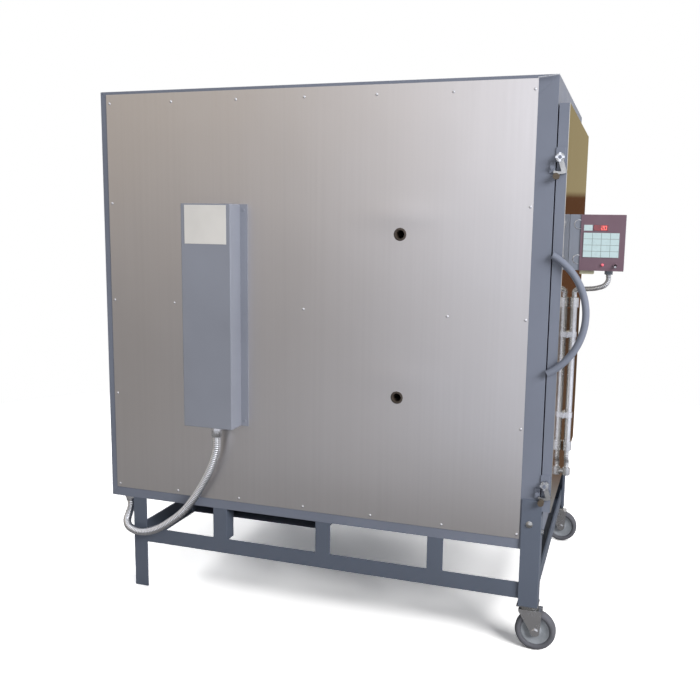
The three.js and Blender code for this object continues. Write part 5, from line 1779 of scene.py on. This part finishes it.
def set_camera():
    camera = bpy.data.cameras.new("Photograph")
    camera.sensor_width = SENSOR_WIDTH
    camera.lens = CAMERA_LENS
    camera.shift_x, camera.shift_y = CAMERA_SHIFT
    camera.clip_end = 100.0
    stand = linked("Photograph", camera)
    ahead = Vector((
        math.cos(CAMERA_YAW) * math.cos(CAMERA_PITCH), math.sin(CAMERA_YAW) * math.cos(CAMERA_PITCH),
        -math.sin(CAMERA_PITCH),
    ))
    level = Vector((math.sin(CAMERA_YAW), -math.cos(CAMERA_YAW), 0.0))
    down = ahead.cross(level)
    right = math.cos(CAMERA_ROLL) * level + math.sin(CAMERA_ROLL) * down
    down = math.cos(CAMERA_ROLL) * down - math.sin(CAMERA_ROLL) * level
    matrix = Matrix((right, -down, -ahead)).transposed().to_4x4()
    matrix.translation = CAMERA_PLACE
    stand.matrix_world = matrix
    bpy.context.scene.camera = stand


def area_light(name, place, target, size, power, shade):
    data = bpy.data.lights.new(name, "AREA")
    data.shape = "RECTANGLE"
    data.size, data.size_y = size
    data.energy = power
    data.color = shade
    lamp = linked(name, data)
    lamp.location = place
    lamp.visible_glossy = False
    lamp.rotation_euler = (Vector(target) - Vector(place)).to_track_quat("-Z", "Y").to_euler()


def shown(red, green, blue):
    return (red, green, blue, 1.0)


def set_world():
    """White where the camera sees it. Metal sees a bright front, a dim rear and a warm wall across."""
    world = bpy.data.worlds.new("Studio")
    world.use_nodes = True
    bpy.context.scene.world = world
    studio = NodeSet(world.node_tree)
    studio.nodes.clear()
    direction = studio.add("ShaderNodeTexCoord").outputs["Generated"]
    parts = studio.add("ShaderNodeSeparateXYZ", {"Vector": direction}).outputs

    def across(axis, start, end, before, after):
        """One colour before start and another after end, along an axis of the direction."""
        return studio.mixed(studio.ranged(parts[axis], 0.0, 1.0, start, end), before, after)

    even = shown(0.92, 0.92, 0.95)
    front = across("Z", -0.16, 0.08, shown(0.98, 1.01, 1.12), shown(1.72, 1.76, 1.92))
    rear = across("Z", -0.06, 0.14, shown(0.36, 0.345, 0.35), shown(0.62, 0.54, 0.45))
    wall = across("Z", 0.030, 0.037, shown(0.115, 0.052, 0.026), shown(0.36, 0.295, 0.165))
    front = across("Y", -0.30, 0.0, even, front)
    left = across("Z", 0.25, 0.6, across("Y", 0.05, 0.35, front, rear), even)
    room = across("X", -0.1, 0.5, left, shown(0.74, 0.73, 0.74))
    room = across("X", 0.955, 0.975, room, wall)
    towards = studio.add(
        "ShaderNodeVectorMath", {0: direction, 1: SOFT_PATCH.normalized()}, operation="DOT_PRODUCT",
    ).outputs["Value"]
    room = studio.mixed(studio.ranged(towards, 0.0, 1.0, 0.95, 0.98), room, shown(3.4, 3.4, 3.5))
    path = studio.add("ShaderNodeLightPath").outputs
    mirrored = studio.math("MAXIMUM", path["Is Glossy Ray"], path["Is Transmission Ray"])
    seen = studio.mixed(mirrored, shown(1.0, 1.0, 1.0), room)
    direct = studio.math("MAXIMUM", path["Is Camera Ray"], mirrored)
    lit = studio.add("ShaderNodeBackground", {"Color": shown(1.0, 1.0, 1.0), "Strength": 0.42})
    pale = studio.add("ShaderNodeBackground", {"Color": seen, "Strength": 1.0})
    whole = studio.add("ShaderNodeMixShader", {0: direct, 1: lit.outputs[0], 2: pale.outputs[0]})
    studio.add("ShaderNodeOutputWorld", {"Surface": whole.outputs[0]})


def floor_finish():
    """A pale floor that keeps the shadow near the kiln and runs out into white. What metal mirrors of it is
    painted: a dark pool of painted shadow near the kiln and a brown strip of painted reflection.
    """
    finish = Finish("Pale floor", shown(0.8, 0.8, 0.8), Roughness=0.9, Specular_IOR_Level=0.0)
    path = finish.add("ShaderNodeLightPath").outputs
    shade = finish.mixed(path["Is Camera Ray"], shown(0.5, 0.5, 0.5), shown(1.7, 1.7, 1.7))
    reach = finish.add("ShaderNodeVectorMath", {0: finish.object_place}, operation="LENGTH").outputs["Value"]
    parts = finish.add("ShaderNodeSeparateXYZ", {"Vector": finish.object_place}).outputs
    # What metal mirrors of the floor is painted: a sweep from bluish grey in front to warm grey behind, a
    # painted reflection.
    open_floor = finish.mixed(
        finish.ranged(parts["Y"], 0.0, 1.0, 0.2, 1.6), shown(0.80, 0.82, 0.90), shown(0.40, 0.385, 0.38),
    )
    # Within about 1.3 m of the kiln the mirrored floor is painted near-black: a painted shadow seen only in
    # reflections.
    left = finish.mixed(finish.ranged(reach, 0.0, 1.0, 1.3, 3.0), shown(0.26, 0.255, 0.255), open_floor)
    aside = finish.math("ABSOLUTE", finish.math("ADD", parts["Y"], 1.0))
    # A dark brown strip to the right of the kiln's front is a painted reflection of a warm wall.
    brown_reflection_strip = finish.math(
        "MULTIPLY", finish.ranged(parts["X"], 0.0, 1.0, 0.8, 1.3), finish.ranged(aside, 1.0, 0.0, 0.6, 0.9),
    )
    mirrored = finish.mixed(brown_reflection_strip, left, shown(0.13, 0.075, 0.045))
    finish.set(Base_Color=finish.mixed(path["Is Glossy Ray"], shade, mirrored))
    far = finish.ranged(reach, 0.0, 1.0, WHITE_FLOOR_FROM, WHITE_FLOOR_FULL)
    white = finish.add("ShaderNodeEmission", {"Color": shown(1.0, 1.0, 1.0), "Strength": 1.0})
    hidden = finish.math("MULTIPLY", far, path["Is Camera Ray"])
    whole = finish.add(
        "ShaderNodeMixShader", {0: hidden, 1: finish.shader.outputs[0], 2: white.outputs[0]},
    )
    finish.feed(finish.nodes["Material Output"].inputs["Surface"], whole.outputs[0])
    return finish


class StageOperator(bpy.types.Operator):
    """Sets the camera, the pale floor, the soft lights and the white background"""

    bl_idname = "kiln.set_stage"
    bl_label = "Stage"

    def execute(self, context):
        set_camera()
        floor = turned("floor", [(0.0, 0.0), (FLOOR_RADIUS, 0.0)], ORIGIN, UP, 96)
        if floor.data.polygons[0].normal.z < 0:
            floor.data.flip_normals()
        floor.data.materials.append(finish_of(floor_finish))
        set_world()
        for name, lamp in LAMPS.items():
            area_light(name, *lamp)
        context.scene.view_settings.view_transform = "Standard"
        return {"FINISHED"}


# Panel, registration and the run

STEPS = (
    StageOperator, ConduitOperator, FrameOperator, StandOperator, PanelsOperator, ScrewsOperator,
    WiringBoxOperator, CastersOperator, LiningOperator, ElementsOperator, DoorOperator, LatchesOperator,
    ControllerOperator, DoorConduitOperator,
)


class KilnPanel(bpy.types.Panel):
    """Lists the steps that dress the kiln, with its sizes and colours"""

    bl_idname = "VIEW3D_PT_kiln"
    bl_label = "Front-loading kiln"
    bl_space_type = "VIEW_3D"
    bl_region_type = "UI"
    bl_category = "Kiln"

    def draw(self, context):
        for group in (context.scene.kiln_sizes, context.scene.kiln_colours):
            box = self.layout.box()
            for name in group.__annotations__:
                box.prop(group, name)
        for step in STEPS:
            self.layout.operator(step.bl_idname)


CLASSES = (KilnSizes, KilnColours, *STEPS, KilnPanel)


def register():
    for kind in CLASSES:
        bpy.utils.register_class(kind)
    bpy.types.Scene.kiln_sizes = PointerProperty(type=KilnSizes)
    bpy.types.Scene.kiln_colours = PointerProperty(type=KilnColours)


def unregister():
    del bpy.types.Scene.kiln_colours
    del bpy.types.Scene.kiln_sizes
    for kind in reversed(CLASSES):
        bpy.utils.unregister_class(kind)


def main():
    register()
    for step in STEPS:
        group, name = step.bl_idname.split(".")
        getattr(getattr(bpy.ops, group), name)()
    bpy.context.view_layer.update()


if __name__ == "__main__":
    main()
